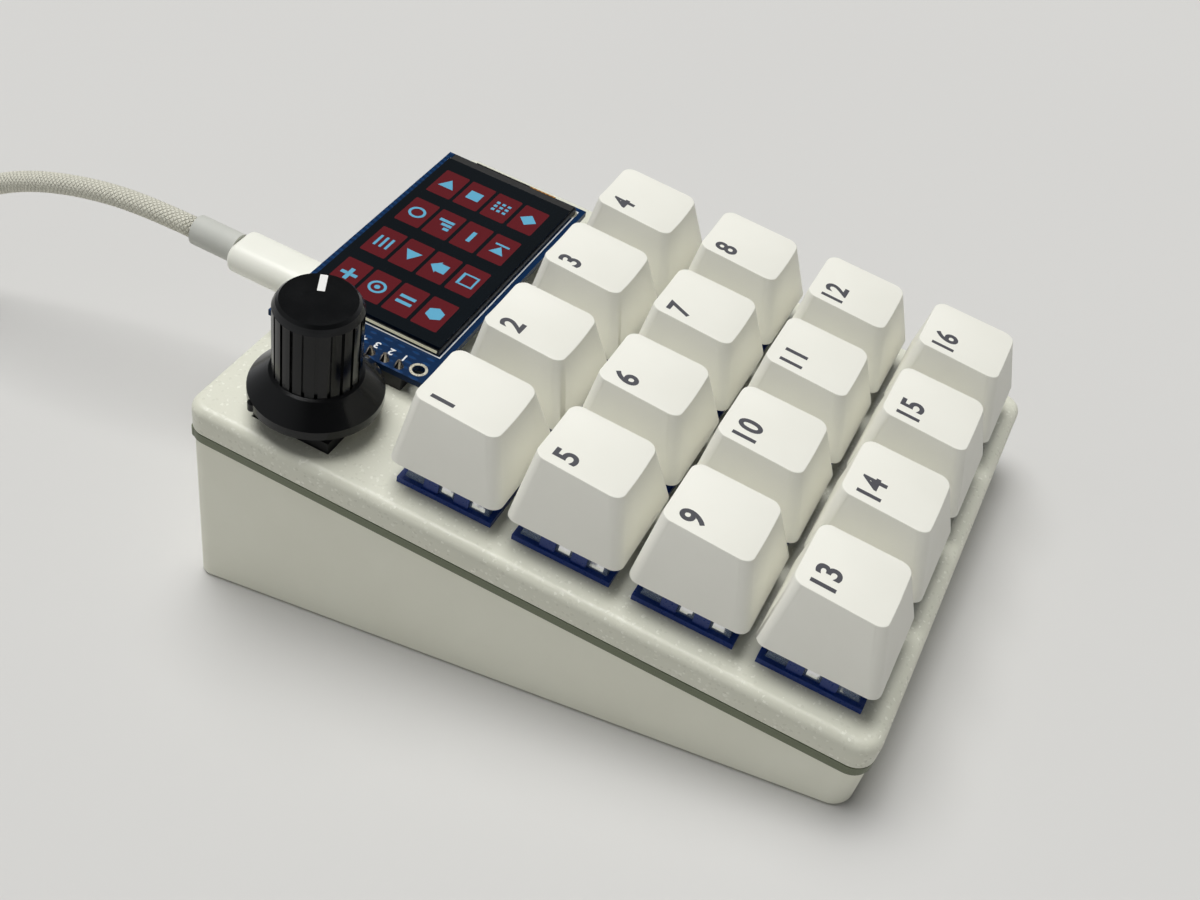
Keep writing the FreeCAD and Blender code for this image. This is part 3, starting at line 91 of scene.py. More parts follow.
def makeCamera():
    data = bpy.data.cameras.new("photoCamera")
    data.lens = camera["lens"]
    data.sensor_width = camera["sensor"]
    data.sensor_fit = "HORIZONTAL"
    data.clip_start = 0.005
    data.clip_end = 20.0
    seat = bpy.data.objects.new("photoCamera", data)
    bpy.context.scene.collection.objects.link(seat)
    turn = Matrix.Rotation(math.radians(-camera["azimuth"]), 4, "Z")
    pitch = Matrix.Rotation(math.radians(90 - camera["drop"]), 4, "X")
    lean = Matrix.Rotation(math.radians(camera["roll"]), 4, "Z")
    seat.matrix_world = Matrix.Translation(Vector(camera["place"]) * mm) @ turn @ pitch @ lean
    bpy.context.scene.camera = seat


makeCamera()
print("camera set")


# Shader trees as Python expressions


class Wire:
    def __init__(self, finish, socket):
        self.finish = finish
        self.socket = socket

    def maths(self, operation, *values):
        sockets = dict(enumerate(values))
        return self.finish.node("ShaderNodeMath", {"operation": operation}, sockets)

    def __add__(self, other):
        return self.maths("ADD", self, other)

    def __radd__(self, other):
        return self.maths("ADD", other, self)

    def __sub__(self, other):
        return self.maths("SUBTRACT", self, other)

    def __rsub__(self, other):
        return self.maths("SUBTRACT", other, self)

    def __mul__(self, other):
        return self.maths("MULTIPLY", self, other)

    def __rmul__(self, other):
        return self.maths("MULTIPLY", other, self)

    def __abs__(self):
        return self.maths("ABSOLUTE", self)

    def sine(self):
        return self.maths("SINE", self)


class Finish:
    def __init__(self, name, **constants):
        self.material = bpy.data.materials.new(name)
        self.material.use_nodes = True
        self.tree = self.material.node_tree
        self.tree.nodes.clear()
        self.surface = self.tree.nodes.new("ShaderNodeBsdfPrincipled")
        output = self.tree.nodes.new("ShaderNodeOutputMaterial")
        self.tree.links.new(self.surface.outputs[0], output.inputs["Surface"])
        for key, value in constants.items():
            self.put(key, value)

    def node(self, kind, settings=None, sockets=None, out=0):
        made = self.tree.nodes.new(kind)
        for key, value in (settings or {}).items():
            setattr(made, key, value)
        for key, value in (sockets or {}).items():
            if isinstance(value, Wire):
                self.tree.links.new(value.socket, made.inputs[key])
            else:
                made.inputs[key].default_value = value
        return Wire(self, made.outputs[out])

    def put(self, key, value):
        socket = self.surface.inputs[key.replace("_", " ")]
        if isinstance(value, Wire):
            self.tree.links.new(value.socket, socket)
        else:
            socket.default_value = value

    def place(self):
        return self.node("ShaderNodeTexCoord", out="Object")

    def split(self, vector, axis):
        return self.node("ShaderNodeSeparateXYZ", None, {0: vector}, out=axis)

    def noise(self, where, scale, detail=3.0, rough=0.5):
        sockets = {"Vector": where, "Scale": scale, "Detail": detail, "Roughness": rough}
        return self.node("ShaderNodeTexNoise", None, sockets, out="Fac")

    def grains(self, where, scale):
        return self.node("ShaderNodeTexVoronoi", None, {"Vector": where, "Scale": scale}, out="Color")

    def mix(self, share, low, high):
        settings = {"data_type": "RGBA", "clamp_factor": True}
        return self.node("ShaderNodeMix", settings, {0: share, 6: low, 7: high}, out=2)

    def soften(self, value, low, high, start=0.0, end=1.0):
        sockets = {0: value, 1: low, 2: high, 3: start, 4: end}
        return self.node("ShaderNodeMapRange", {"clamp": True}, sockets)

    def bump(self, height, distance, strength):
        sockets = {"Height": height, "Distance": distance, "Strength": strength}
        self.put("Normal", self.node("ShaderNodeBump", None, sockets))


def tone(red, green, blue):
    levels = []
    for level in (red, green, blue):  # colours are written as they are seen, 0 to 255
        share = level / 255
        levels.append(share / 12.92 if share <= 0.04045 else ((share + 0.055) / 1.055) ** 2.4)
    return (*levels, 1.0)


finishes = {}


def printedBase():
    look = {"colour": (238, 238, 222), "shade": (230, 229, 212), "layer": 0.2, "grain": 0.35}
    made = Finish("printedBase", Roughness=0.62)
    where = made.place()
    cloud = made.noise(where, 60.0)
    made.put("Base Color", made.mix(cloud, tone(*look["shade"]), tone(*look["colour"])))
    height = made.split(where, "Z") * (2 * math.pi / (look["layer"] * mm))
    layers = height.sine() * 0.35
    grain = made.noise(where, 1 / (look["grain"] * mm), 2.0)
    made.bump(layers + grain, 0.00003, 0.5)
    made.put("Roughness", made.soften(grain, 0.3, 0.7, 0.55, 0.72))
    return made.material


def sparklingPlate():
    look = {"colour": (222, 222, 206), "shade": (212, 212, 195), "grain": 0.36, "fine": 0.16}
    made = Finish("sparklingPlate", Roughness=0.4)
    where = made.place()
    cells = made.split(made.grains(where, 1 / (look["grain"] * mm)), "X")
    fine = made.noise(where, 1 / (look["fine"] * mm), 2.0)
    cloud = made.noise(where, 45.0)
    pale = made.mix(cloud, tone(*look["shade"]), tone(*look["colour"]))
    made.put("Base Color", made.mix(made.soften(cells, 0.92, 1.0), pale, tone(236, 236, 222)))
    made.put("Roughness", made.soften(cells, 0.0, 1.0, 0.26, 0.56))
    made.bump(cells + fine * 0.6, 0.00004, 0.38)
    return made.material


def boardEdge():
    look = {"mask": (82, 90, 66), "glass": (120, 126, 100), "fibre": 0.18}
    made = Finish("boardEdge", Roughness=0.45)
    where = made.place()
    fibres = made.noise(where, 1 / (look["fibre"] * mm), 2.0)
    made.put("Base Color", made.mix(fibres, tone(*look["mask"]), tone(*look["glass"])))
    made.bump(fibres, 0.00002, 0.5)
    return made.material


def keycapPlastic():
    look = {"colour": (238, 237, 227), "shade": (230, 229, 218), "grain": 0.13}
    made = Finish("keycapPlastic", Roughness=0.5)
    where = made.place()
    cloud = made.noise(where, 90.0)
    made.put("Base Color", made.mix(cloud, tone(*look["shade"]), tone(*look["colour"])))
    grain = made.noise(where, 1 / (look["grain"] * mm), 2.0, 0.6)
    made.put("Roughness", made.soften(grain, 0.3, 0.7, 0.42, 0.6))
    made.bump(grain, 0.00002, 0.4)
    return made.material


def legendInk():
    made = Finish("legendInk", Roughness=0.6)
    speckle = made.noise(made.place(), 9000.0, 2.0)
    made.put("Base Color", made.mix(speckle, tone(56, 56, 62), tone(80, 80, 86)))
    return made.material


def moulded(name, colour, shade, roughness, grain):
    made = Finish(name, Roughness=roughness)
    where = made.place()
    cloud = made.noise(where, 150.0)
    made.put("Base Color", made.mix(cloud, tone(*shade), tone(*colour)))
    pores = made.noise(where, 1 / (grain * mm), 2.0)
    made.put("Roughness", made.soften(pores, 0.3, 0.7, roughness * 0.8, roughness * 1.25))
    made.bump(pores, 0.00001, 0.35)
    return made


def smokyPlastic():
    made = moulded("smokyPlastic", (150, 168, 194), (116, 134, 160), 0.12, 0.5)
    made.put("Alpha", 0.5)
    made.put("IOR", 1.52)
    return made.material


def metal(name, colour, shade, roughness, brushed, metallic=1.0):
    made = Finish(name, Metallic=metallic, Roughness=roughness)
    where = made.place()
    stretch = made.node("ShaderNodeMapping", None, {"Vector": where, "Scale": (brushed, 1.0, 1.0)})
    streaks = made.noise(stretch, 5000.0, 2.0)
    made.put("Base Color", made.mix(streaks, tone(*shade), tone(*colour)))
    made.put("Roughness", made.soften(streaks, 0.3, 0.7, roughness * 0.75, roughness * 1.4))
    made.bump(streaks, 0.000005, 0.4)
    return made.material


def leafMetal():
    made = Finish("leafMetal", Metallic=1.0, Roughness=0.1)
    blots = made.noise(made.place(), 520.0, 2.0)
    made.put("Base Color", made.mix(blots, tone(206, 208, 212), tone(250, 250, 250)))
    made.put("Alpha", made.soften(blots, 0.36, 0.48))
    return made.material


def screenGlass():
    made = Finish("screenGlass", Roughness=0.06, Specular_IOR_Level=0.35)
    smear = made.noise(made.place(), 70.0)
    made.put("Base Color", made.mix(smear, tone(5, 10, 14), tone(9, 17, 23)))
    made.put("Roughness", made.soften(smear, 0.35, 0.75, 0.04, 0.13))
    return made.material


def litPicture(name, colour, glow):
    made = Finish(name, Roughness=0.12, Specular_IOR_Level=0.3)
    rows = made.split(made.place(), "X") * (2 * math.pi / 0.00022)  # the panel's own lines
    lines = rows.sine() * 0.5 + 0.5
    dim = tuple(level * 0.82 for level in tone(*colour)[:3]) + (1.0,)
    shown = made.mix(lines, dim, tone(*colour))
    made.put("Base Color", shown)
    made.put("Emission Color", shown)
    made.put("Emission Strength", glow)
    return made.material


def screenBoard():
    look = {"mask": (4, 37, 72), "trace": (8, 52, 96), "pitch": 1.27}
    made = Finish("screenBoard", Roughness=0.28, Specular_IOR_Level=0.12)
    where = made.place()
    across = (made.split(where, "X") * (2 * math.pi / (look["pitch"] * mm))).sine()
    along = (made.split(where, "Y") * (2 * math.pi / (look["pitch"] * 2 * mm))).sine()
    wander = made.noise(where, 380.0, 1.0)
    tracks = made.soften(across * wander + along * 0.3, 0.38, 0.46)
    made.put("Base Color", made.mix(tracks, tone(*look["mask"]), tone(*look["trace"])))
    made.bump(tracks, 0.00002, 0.5)
    return made.material


def knobPlastic():
    look = {"colour": (7, 8, 9), "wear": (18, 18, 20), "scratch": 0.5}
    made = Finish("knobPlastic", Roughness=0.2, Specular_IOR_Level=0.26)
    where = made.place()
    cloud = made.noise(where, 260.0, 4.0)
    scratch = made.noise(where, 1 / (look["scratch"] * mm), 5.0, 0.7)
    worn = made.soften(scratch, 0.6, 0.8)
    made.put("Base Color", made.mix(worn, tone(*look["colour"]), tone(*look["wear"])))
    made.put("Roughness", made.soften(cloud + scratch * 0.3, 0.45, 0.95, 0.12, 0.2))
    made.bump(scratch, 0.000008, 0.4)
    return made.material


def flexFilm():
    look = {"ink": (26, 23, 20), "film": (190, 138, 64), "pitch": 0.8, "bare": 0.0318}
    made = Finish("flexFilm", Roughness=0.25)
    back = made.split(made.place(), "Y")
    tracks = (back * (2 * math.pi / (look["pitch"] * mm))).sine()
    film = made.mix(made.soften(tracks, 0.2, 0.4), tone(150, 96, 36), tone(*look["film"]))
    inked = made.soften(back, look["bare"], look["bare"] + 0.0004)  # bare film at one end only
    made.put("Base Color", made.mix(inked, film, tone(*look["ink"])))
    return made.material


def wovenSleeve():
    look = {"colour": (237, 235, 219), "gap": (186, 183, 162), "around": 12, "step": 1.0}
    made = Finish("wovenSleeve", Roughness=0.75, Sheen_Weight=0.2)
    strands = made.node("ShaderNodeUVMap", {"uv_map": "UVMap"})
    around = made.split(strands, "X") * (math.pi * look["around"])
    along = made.split(strands, "Y") * (math.pi / (look["step"] * mm))
    rise = abs((around + along).sine())
    fall = abs((around - along).sine())
    weaveLiftAndShade = made.soften(rise * fall, 0.0, 0.6)
    fuzz = made.noise(made.place(), 2600.0, 4.0, 0.75)
    # The hollows between the strands are painted darker in the gap colour: painted shade.
    made.put("Base Color", made.mix(weaveLiftAndShade * 0.5 + fuzz * 0.8, tone(*look["gap"]), tone(*look["colour"])))
    made.bump(weaveLiftAndShade + fuzz * 1.3, 0.0002, 1.0)
    return made.material


finishes["printedBase"] = printedBase()
finishes["sparklingPlate"] = sparklingPlate()
finishes["boardEdge"] = boardEdge()
finishes["keycapPlastic"] = keycapPlastic()
finishes["legendInk"] = legendInk()
finishes["switchBlue"] = moulded("switchBlue", (16, 54, 132), (12, 42, 110), 0.32, 0.3).material
finishes["smokyPlastic"] = smokyPlastic()
finishes["stemPlastic"] = moulded("stemPlastic", (60, 84, 160), (48, 70, 140), 0.35, 0.3).material
finishes["steel"] = metal("steel", (196, 197, 200), (150, 151, 155), 0.3, 0.1)
finishes["brass"] = metal("brass", (206, 170, 96), (160, 124, 62), 0.35, 0.2)
finishes["leafMetal"] = leafMetal()
finishes["solder"] = metal("solder", (206, 198, 186), (150, 140, 126), 0.16, 1.0)
finishes["tinPlate"] = metal("tinPlate", (206, 203, 186), (176, 171, 150), 0.3, 1.0, 0.8)
# The tray's edge is painted near white: a painted reflection of the bright floor on its metal.
finishes["reflectionPaintedEdge"] = moulded("reflectionPaintedEdge", (250, 247, 218), (240, 236, 204), 0.3, 0.3).material
finishes["blackPlastic"] = moulded("blackPlastic", (24, 24, 26), (14, 14, 15), 0.42, 0.2).material
finishes["panelFrame"] = moulded("panelFrame", (46, 48, 50), (34, 36, 38), 0.3, 0.3).material
finishes["screenGlass"] = screenGlass()
finishes["tilePicture"] = litPicture("tilePicture", (92, 25, 31), 0.12)
finishes["iconPicture"] = litPicture("iconPicture", (94, 162, 192), 0.17)
finishes["ledgeInk"] = moulded("ledgeInk", (20, 19, 18), (14, 13, 12), 0.4, 0.2).material
finishes["screenBoard"] = screenBoard()
finishes["silkPrint"] = moulded("silkPrint", (228, 230, 230), (205, 208, 210), 0.6, 0.2).material
finishes["knobPlastic"] = knobPlastic()
finishes["pointerPaint"] = moulded("pointerPaint", (236, 236, 232), (220, 220, 216), 0.45, 0.2).material
finishes["flexFilm"] = flexFilm()
finishes["plugPlastic"] = moulded("plugPlastic", (240, 240, 230), (232, 232, 220), 0.38, 0.25).material
finishes["collarRubber"] = moulded("collarRubber", (200, 201, 194), (186, 187, 179), 0.6, 0.15).material
finishes["wovenSleeve"] = wovenSleeve()
print("finishes made:", len(finishes))


# Finishes of the carried-over parts that no piece of this file replaces

nodeFinish = {
    "base_shell": "printedBase",
    "top_plate": "sparklingPlate",
    "matrix_board": "boardEdge",
    "case_screws": "steel",
    "heat_set_inserts": "brass",
    "switch_lower_housings": "switchBlue",
    "switch_upper_housings": "smokyPlastic",
    "switch_contacts": "brass",
    "controller_board": "boardEdge",
    "usb_socket": "steel",
    "display_board": "screenBoard",
    "display_header": "blackPlastic",
    "display_frame": "panelFrame",
    "display_glass": "screenGlass",
    "display_flex": "flexFilm",
    "encoder_body": "blackPlastic",
    "encoder_bushing": "steel",
    "encoder_plunger": "blackPlastic",
    "encoder_shaft": "steel",
    "knob": "knobPlastic",
    "plug_shell": "steel",
    "plug_collar": "collarRubber",
    "cable_tie": "collarRubber",
}
for name in keyNames:
    nodeFinish[f"key_stem_{name}"] = "stemPlastic"
for name, finish in nodeFinish.items():
    nodes[name].data.materials.clear()
    nodes[name].data.materials.append(finishes[finish])
print("finishes set on", len(nodeFinish), "nodes")


def addPiece(name, mesh, finish, body):
    piece = bpy.data.objects.new(name, mesh)
    bpy.context.scene.collection.objects.link(piece)
    mesh.materials.clear()
    mesh.materials.append(finishes[finish])
    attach(piece, body)
    return piece


def meshFrom(work, name):
    mesh = bpy.data.meshes.new(name)
    bmesh.ops.recalc_face_normals(work, faces=work.faces)
    work.to_mesh(mesh)
    work.free()
    return mesh


# Soft copies: a carried-over mesh is left alone, and a welded copy of it gets rounded edges

soft = {
    "crease": math.radians(30),  # a plug's edge sharper than this is rounded over
    "plugEdge": 0.3,  # mm
    "steps": 3,
    "sharp": math.radians(32),  # an edge sharper than this stays crisp in the shading
    "weld": 0.002,  # mm, vertices nearer than this are one
    "flat": math.radians(0.3),  # faces that turn less than this are joined
}


def weldedCopy(name):
    work = bmesh.new()
    work.from_mesh(nodes[name].data)
    bmesh.ops.remove_doubles(work, verts=work.verts, dist=soft["weld"] * mm)
    bmesh.ops.dissolve_limit(
        work, angle_limit=soft["flat"], verts=work.verts, edges=work.edges, delimit={"NORMAL"}
    )
    return work


def creases(work, least):
    return [
        edge for edge in work.edges if len(edge.link_faces) == 2 and edge.calc_face_angle(0.0) > least
    ]


def softPiece(name, work, edges, width, finish, body):
    bmesh.ops.bevel(
        work, geom=edges, offset=width * mm, segments=soft["steps"], affect="EDGES", profile=0.5,
        clamp_overlap=True,
    )
    for face in work.faces:
        face.smooth = True
    mesh = bpy.data.meshes.new(f"soft_{name}")
    work.to_mesh(mesh)
    work.free()
    mesh.set_sharp_from_angle(angle=soft["sharp"])
    piece = addPiece(f"soft_{name}", mesh, finish, body)
    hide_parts(name)
    return piece


def softPlug(name):
    work = weldedCopy(name)
    edges = creases(work, soft["crease"])
    return softPiece(name, work, edges, soft["plugEdge"], "plugPlastic", "case")


softPlugs = [softPlug("plug_body"), softPlug("far_plug")]
print("plugs softened")


# Woven cable: the route's points and the coil's turns are one spline

cable = {
    "diameter": 4.0,
    "exit": (4.2, 84.583, 34.311),  # mm, where the collar ends
    "firstRun": 12.0,
    "route": [
        (111.3, 37.4),
        (127.1, 35.2),
        (142.2, 29.7),
        (155.1, 20.3),
        (167.2, 13.3),
        (178.6, 9.4),
    ],
    "landing": 190.4,
    "coilMiddle": 204.4,  # y of the coil's centre
    "coilRadius": 22.0,
    "coilTurns": 1,
    "coilPitch": 4.7,
    "lowLayer": 2.9,
    "pointsPerTurn": 16,
    "sides": 16,
    "splineSteps": 8,
    "length": 0.470,  # m, free stretch and coil together
    "pieces": ("plug_shell", "plug_collar", "cable_tie"),
}


def cablePoints():
    exitPoint = Vector(cable["exit"])
    outOfPort = Vector((0, math.cos(slope), math.sin(slope)))
    points = [exitPoint, exitPoint + outOfPort * cable["firstRun"]]
    side = exitPoint.x
    points += [Vector((side, y, z)) for y, z in cable["route"]]
    highLayer = cable["lowLayer"] + cable["coilPitch"]
    points.append(Vector((side, cable["landing"], highLayer)))
    turns = cable["coilTurns"]
    outer = cable["coilRadius"] + turns * cable["coilPitch"] / 2
    middle = Vector((side - outer, cable["coilMiddle"], 0))
    rate = cable["coilPitch"] / (2 * math.pi)
    sweep = turns * 2 * math.pi
    count = cable["pointsPerTurn"]
    spread = 4 / (3 + math.cos(2 * math.pi / count))  # the spline runs inside its points
    for number in range(int((turns * 2 + 0.5) * count)):
        angle = (number + 0.5) * 2 * math.pi / count
        into = min(max(angle - sweep, 0), math.pi)
        share = into / math.pi
        radius = outer - rate * min(angle, sweep) + rate * max(angle - sweep - math.pi, 0)
        radius += rate * (into * into / math.pi - into)
        height = highLayer - cable["coilPitch"] * share * share * (3 - 2 * share)
        around = Vector((math.cos(angle), math.sin(angle), 0)) * radius * spread
        points.append(middle + around + Vector((0, 0, height)))
    last = middle + Vector((-outer, 0, cable["lowLayer"]))
    points.append(last - Vector((0, cable["diameter"], 0)))
    return [point * mm for point in points]


def splineLine(name, points):
    data = bpy.data.curves.new(name, "CURVE")
    data.dimensions = "3D"
    spline = data.splines.new("NURBS")
    spline.points.add(len(points) - 1)
    for target, point in zip(spline.points, points):
        target.co = (*point, 1.0)
    spline.order_u = 3
    spline.use_endpoint_u = True
    spline.resolution_u = cable["splineSteps"]
    carrier = bpy.data.objects.new(name, data)
    bpy.context.scene.collection.objects.link(carrier)
    bpy.context.view_layer.update()
    evaluated = carrier.evaluated_get(bpy.context.evaluated_depsgraph_get())
    line = bpy.data.meshes.new_from_object(evaluated)
    places = [vertex.co.copy() for vertex in line.vertices]
    bpy.data.objects.remove(carrier)
    bpy.data.meshes.remove(line)
    return places


def tubeMesh(name, line, radius, sides):
    work = bmesh.new()
    uvLayer = work.loops.layers.uv.new("UVMap")
    rings = []
    reached = [0.0]
    for before, after in zip(line, line[1:]):
        reached.append(reached[-1] + (after - before).length)
    across = Vector((1, 0, 0))
    for number, point in enumerate(line):
        ahead = line[min(number + 1, len(line) - 1)] - line[max(number - 1, 0)]
        ahead.normalize()
        across = (across - ahead * across.dot(ahead)).normalized()
        other = ahead.cross(across)
        ring = []
        for step in range(sides):
            angle = step * 2 * math.pi / sides
            spoke = across * math.cos(angle) + other * math.sin(angle)
            ring.append(work.verts.new(point + spoke * radius))
        rings.append(ring)
    for number, (first, second) in enumerate(zip(rings, rings[1:])):
        for step in range(sides):
            following = (step + 1) % sides
            face = work.faces.new((first[step], first[following], second[following], second[step]))
            face.smooth = True
            corners = ((step, number), (step + 1, number), (step + 1, number + 1), (step, number + 1))
            for loop, (turn, along) in zip(face.loops, corners):
                loop[uvLayer].uv = (turn / sides, reached[along])
    work.faces.new(list(reversed(rings[0])))
    work.faces.new(rings[-1])
    return meshFrom(work, name)


cableLine = splineLine("cable_line", cablePoints())
wovenCable = addPiece(
    "woven_cable",
    tubeMesh("woven_cable", cableLine, cable["diameter"] / 2 * mm, cable["sides"]),
    "wovenSleeve",
    "case",
)
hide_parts("cable", "cable_coil")
print("cable made, points on its line:", len(cableLine))


# Keycaps: welded copies of the carried-over ones, with the rim of the dish rounded over

cap = {
    "top": 15.9,  # mm above the plate, at the middle of the top
    "shift": 1.0,
    "tilt": math.radians(3.3),
    "topAcross": 12.3,
    "dishRadius": 46.0,
    "rim": 0.45,  # width of the rounding
    "crease": math.radians(35),
    "near": 0.06,  # how far from the dish a rim's corner may lie
}


def dishHeight(u, v):
    radius = cap["dishRadius"]
    depth = (cap["topAcross"] / 2) ** 2 / radius / 2
    bowl = radius - math.sqrt(radius * radius - u * u) - depth
    return cap["top"] + (v - cap["shift"]) * math.tan(cap["tilt"]) + bowl


def onDish(corner, place, inverse):
    u, v, w = (inverse @ corner) / mm
    return abs(w - dishHeight(u - place[0], v - place[1])) < cap["near"]


def softCap(name, place):
    work = weldedCopy(f"keycap_{name}")
    inverse = plateMatrix.inverted()
    rim = [
        edge
        for edge in creases(work, cap["crease"])
        if all(onDish(vertex.co, place, inverse) for vertex in edge.verts)
    ]
    count = len(rim)
    softPiece(f"keycap_{name}", work, rim, cap["rim"], "keycapPlastic", f"key_{name}")
    return count


rimEdges = [softCap(name, place) for name, place in zip(keyNames, keyPlaces())]
print("keycaps softened, rim edges each:", rimEdges)


# Numbers on the keycaps, cut finely enough to follow the dish

legend = {
    "height": 3.5,  # mm, of a digit
    "bold": 0.04,  # share of the height that the outline grows by
    "left": -4.6,
    "foot": 1.9,
    "proud": 0.012,
    "step": 0.5,  # spacing of the cuts across the dish
}


lettering = {"digitShare": 0.7, "curveSteps": 6, "spacing": 1.1}  # a digit's share of the font size


def textMesh(name, words, height, bold):
    data = bpy.data.curves.new(name, "FONT")
    data.body = words
    data.size = height / lettering["digitShare"] * mm
    data.resolution_u = lettering["curveSteps"]
    data.space_character = lettering["spacing"]
    data.offset = height * bold * mm
    carrier = bpy.data.objects.new(name, data)
    bpy.context.scene.collection.objects.link(carrier)
    bpy.context.view_layer.update()
    evaluated = carrier.evaluated_get(bpy.context.evaluated_depsgraph_get())
    mesh = bpy.data.meshes.new_from_object(evaluated)
    bpy.data.objects.remove(carrier)
    return mesh


def keyLegend(name, place):
    flat = textMesh(f"legend_{name}", str(int(name)), legend["height"], legend["bold"])
    work = bmesh.new()
    work.from_mesh(flat)
    left = min(vertex.co.x for vertex in work.verts)
    foot = min(vertex.co.y for vertex in work.verts)
    for vertex in work.verts:
        vertex.co.x += legend["left"] * mm - left
        vertex.co.y += legend["foot"] * mm - foot
    right = max(vertex.co.x for vertex in work.verts)
    cutAt = (legend["left"] + legend["step"]) * mm
    while cutAt < right:
        parts = work.verts[:] + work.edges[:] + work.faces[:]
        bmesh.ops.bisect_plane(work, geom=parts, plane_co=(cutAt, 0, 0), plane_no=(1, 0, 0))
        cutAt += legend["step"] * mm
    for vertex in work.verts:
        u, v = vertex.co.x / mm, vertex.co.y / mm
        vertex.co = onPlate(place[0] + u, place[1] + v, dishHeight(u, v) + legend["proud"])
    mesh = bpy.data.meshes.new(f"legend_{name}")
    work.to_mesh(mesh)
    work.free()
    addPiece(f"legend_{name}", mesh, "legendInk", f"key_{name}")


for name, place in zip(keyNames, keyPlaces()):
    keyLegend(name, place)
print("legends made:", len(keyNames))


# Geometry node trees as Python expressions


class Growth:
    def __init__(self, name, sizes):
        self.tree = bpy.data.node_groups.new(name, "GeometryNodeTree")
        self.keys = {}
        for label, kind in sizes.items():
            kindName = f"NodeSocket{kind}"
            made = self.tree.interface.new_socket(name=label, in_out="INPUT", socket_type=kindName)
            self.keys[label] = made.identifier
        self.tree.interface.new_socket(name="Geometry", in_out="OUTPUT", socket_type="NodeSocketGeometry")
        self.source = self.tree.nodes.new("NodeGroupInput")

    def size(self, label):
        return self.source.outputs[label]

    def node(self, kind, settings=None, sockets=None):
        made = self.tree.nodes.new(kind)
        for key, value in (settings or {}).items():
            setattr(made, key, value)
        for key, value in (sockets or {}).items():
            if isinstance(value, bpy.types.NodeSocket):
                self.tree.links.new(value, made.inputs[key])
            else:
                made.inputs[key].default_value = value
        return made.outputs[0]

    def end(self, geometry):
        real = self.node("GeometryNodeRealizeInstances", None, {0: geometry})
        dressed = self.node(
            "GeometryNodeSetMaterial", None, {"Geometry": real, "Material": self.size("Finish")}
        )
        output = self.tree.nodes.new("NodeGroupOutput")
        self.tree.links.new(dressed, output.inputs[0])

    def grow(self, name, values):
        carrier = bpy.data.objects.new(name, bpy.data.meshes.new(name))
        bpy.context.scene.collection.objects.link(carrier)
        modifier = carrier.modifiers.new(name, "NODES")
        modifier.node_group = self.tree
        for label, value in values.items():
            modifier[self.keys[label]] = value
        bpy.context.view_layer.update()
        evaluated = carrier.evaluated_get(bpy.context.evaluated_depsgraph_get())
        mesh = bpy.data.meshes.new_from_object(evaluated)
        bpy.data.objects.remove(carrier)
        mesh.name = name
        return mesh


# Switch springs

spring = {
    "radius": 2.05,
    "wire": 0.16,
    "turns": 9.0,
    "stepsPerTurn": 18,
    "sides": 6,
    "foot": -4.2,
    "seat": 4.4,
    "squeezed": 0.53,  # share of the length that is left when the key is down
}


def springTree():
    sizes = {"Radius": "Float", "Height": "Float", "Turns": "Float", "Wire": "Float", "Finish": "Material"}
    growth = Growth("spring_tree", sizes)
    helix = growth.node(
        "GeometryNodeCurveSpiral",
        None,
        {
            "Resolution": spring["stepsPerTurn"],
            "Rotations": growth.size("Turns"),
            "Start Radius": growth.size("Radius"),
            "End Radius": growth.size("Radius"),
            "Height": growth.size("Height"),
        },
    )
    ring = {"Resolution": spring["sides"], "Radius": growth.size("Wire")}
    section = growth.node("GeometryNodeCurvePrimitiveCircle", {"mode": "RADIUS"}, ring)
    wire = growth.node("GeometryNodeCurveToMesh", None, {0: helix, 1: section, "Fill Caps": True})
    growth.end(wire)
    return growth


springs = springTree()
for name, place in zip(keyNames, keyPlaces()):
    values = {
        "Radius": (spring["radius"] - spring["wire"]) * mm,
        "Height": (spring["seat"] - spring["foot"] - spring["wire"] * 2) * mm,
        "Turns": spring["turns"],
        "Wire": spring["wire"] * mm,
        "Finish": finishes["steel"],
    }
    coil = springs.grow(f"spring_{name}", values)
    foot = onPlate(*place, spring["foot"])
    coil.transform(Matrix.Translation(onPlate(*place, spring["foot"] + spring["wire"])) @ tilt)
    piece = addPiece(f"spring_{name}", coil, "steel", "case")
    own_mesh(piece)
    if name == keyNames[0]:
        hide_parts("switch_springs")
print("springs made:", len(keyNames))


# Contact leaves: bright metal behind the clear hoods, seen between the clips

leaf = {
    "face": 6.98,  # how far the hood's side stands out at its foot
    "lean": 0.277,  # how much it draws in for each mm up
    "low": 1.25,
    "high": 2.35,
    "spans": ((-6.2, -4.1), (-0.9, 0.9)),
    "thick": 0.05,
}


def contactLeaf():
    work = bmesh.new()
    for u, v in keyPlaces():
        for front, back in leaf["spans"]:
            rings = []
            for w in (leaf["low"], leaf["high"]):
                outside = u - leaf["face"] + leaf["lean"] * (w - 1)
                for reach in (outside, outside + leaf["thick"]):
                    rings.append([work.verts.new(onPlate(reach, v + side, w)) for side in (front, back)])
            near, far, farUp, nearUp = rings[0], rings[1], rings[3], rings[2]
            for first, second in ((near, far), (far, farUp), (farUp, nearUp), (nearUp, near)):
                work.faces.new((first[0], first[1], second[1], second[0]))
            for end in (0, 1):
                work.faces.new([ring[end] for ring in (near, far, farUp, nearUp)])
    addPiece("contact_leaves", meshFrom(work, "contact_leaves"), "leafMetal", "case")


contactLeaf()
print("contact leaves made")


# Flat shapes on the plate: outlines in mm, raised a little and given a side wall


def roundedOutline(left, right, front, back, radius, steps=5):
    corners = ((right, back, 0), (left, back, 1), (left, front, 2), (right, front, 3))
    points = []
    for x, y, quarter in corners:
        middleX = x - radius if x == right else x + radius
        middleY = y - radius if y == back else y + radius
        for step in range(steps + 1):
            angle = (quarter + step / steps) * math.pi / 2
            points.append((middleX + radius * math.cos(angle), middleY + radius * math.sin(angle)))
    return points


def boxOutline(left, right, front, back):
    return [(left, front), (right, front), (right, back), (left, back)]


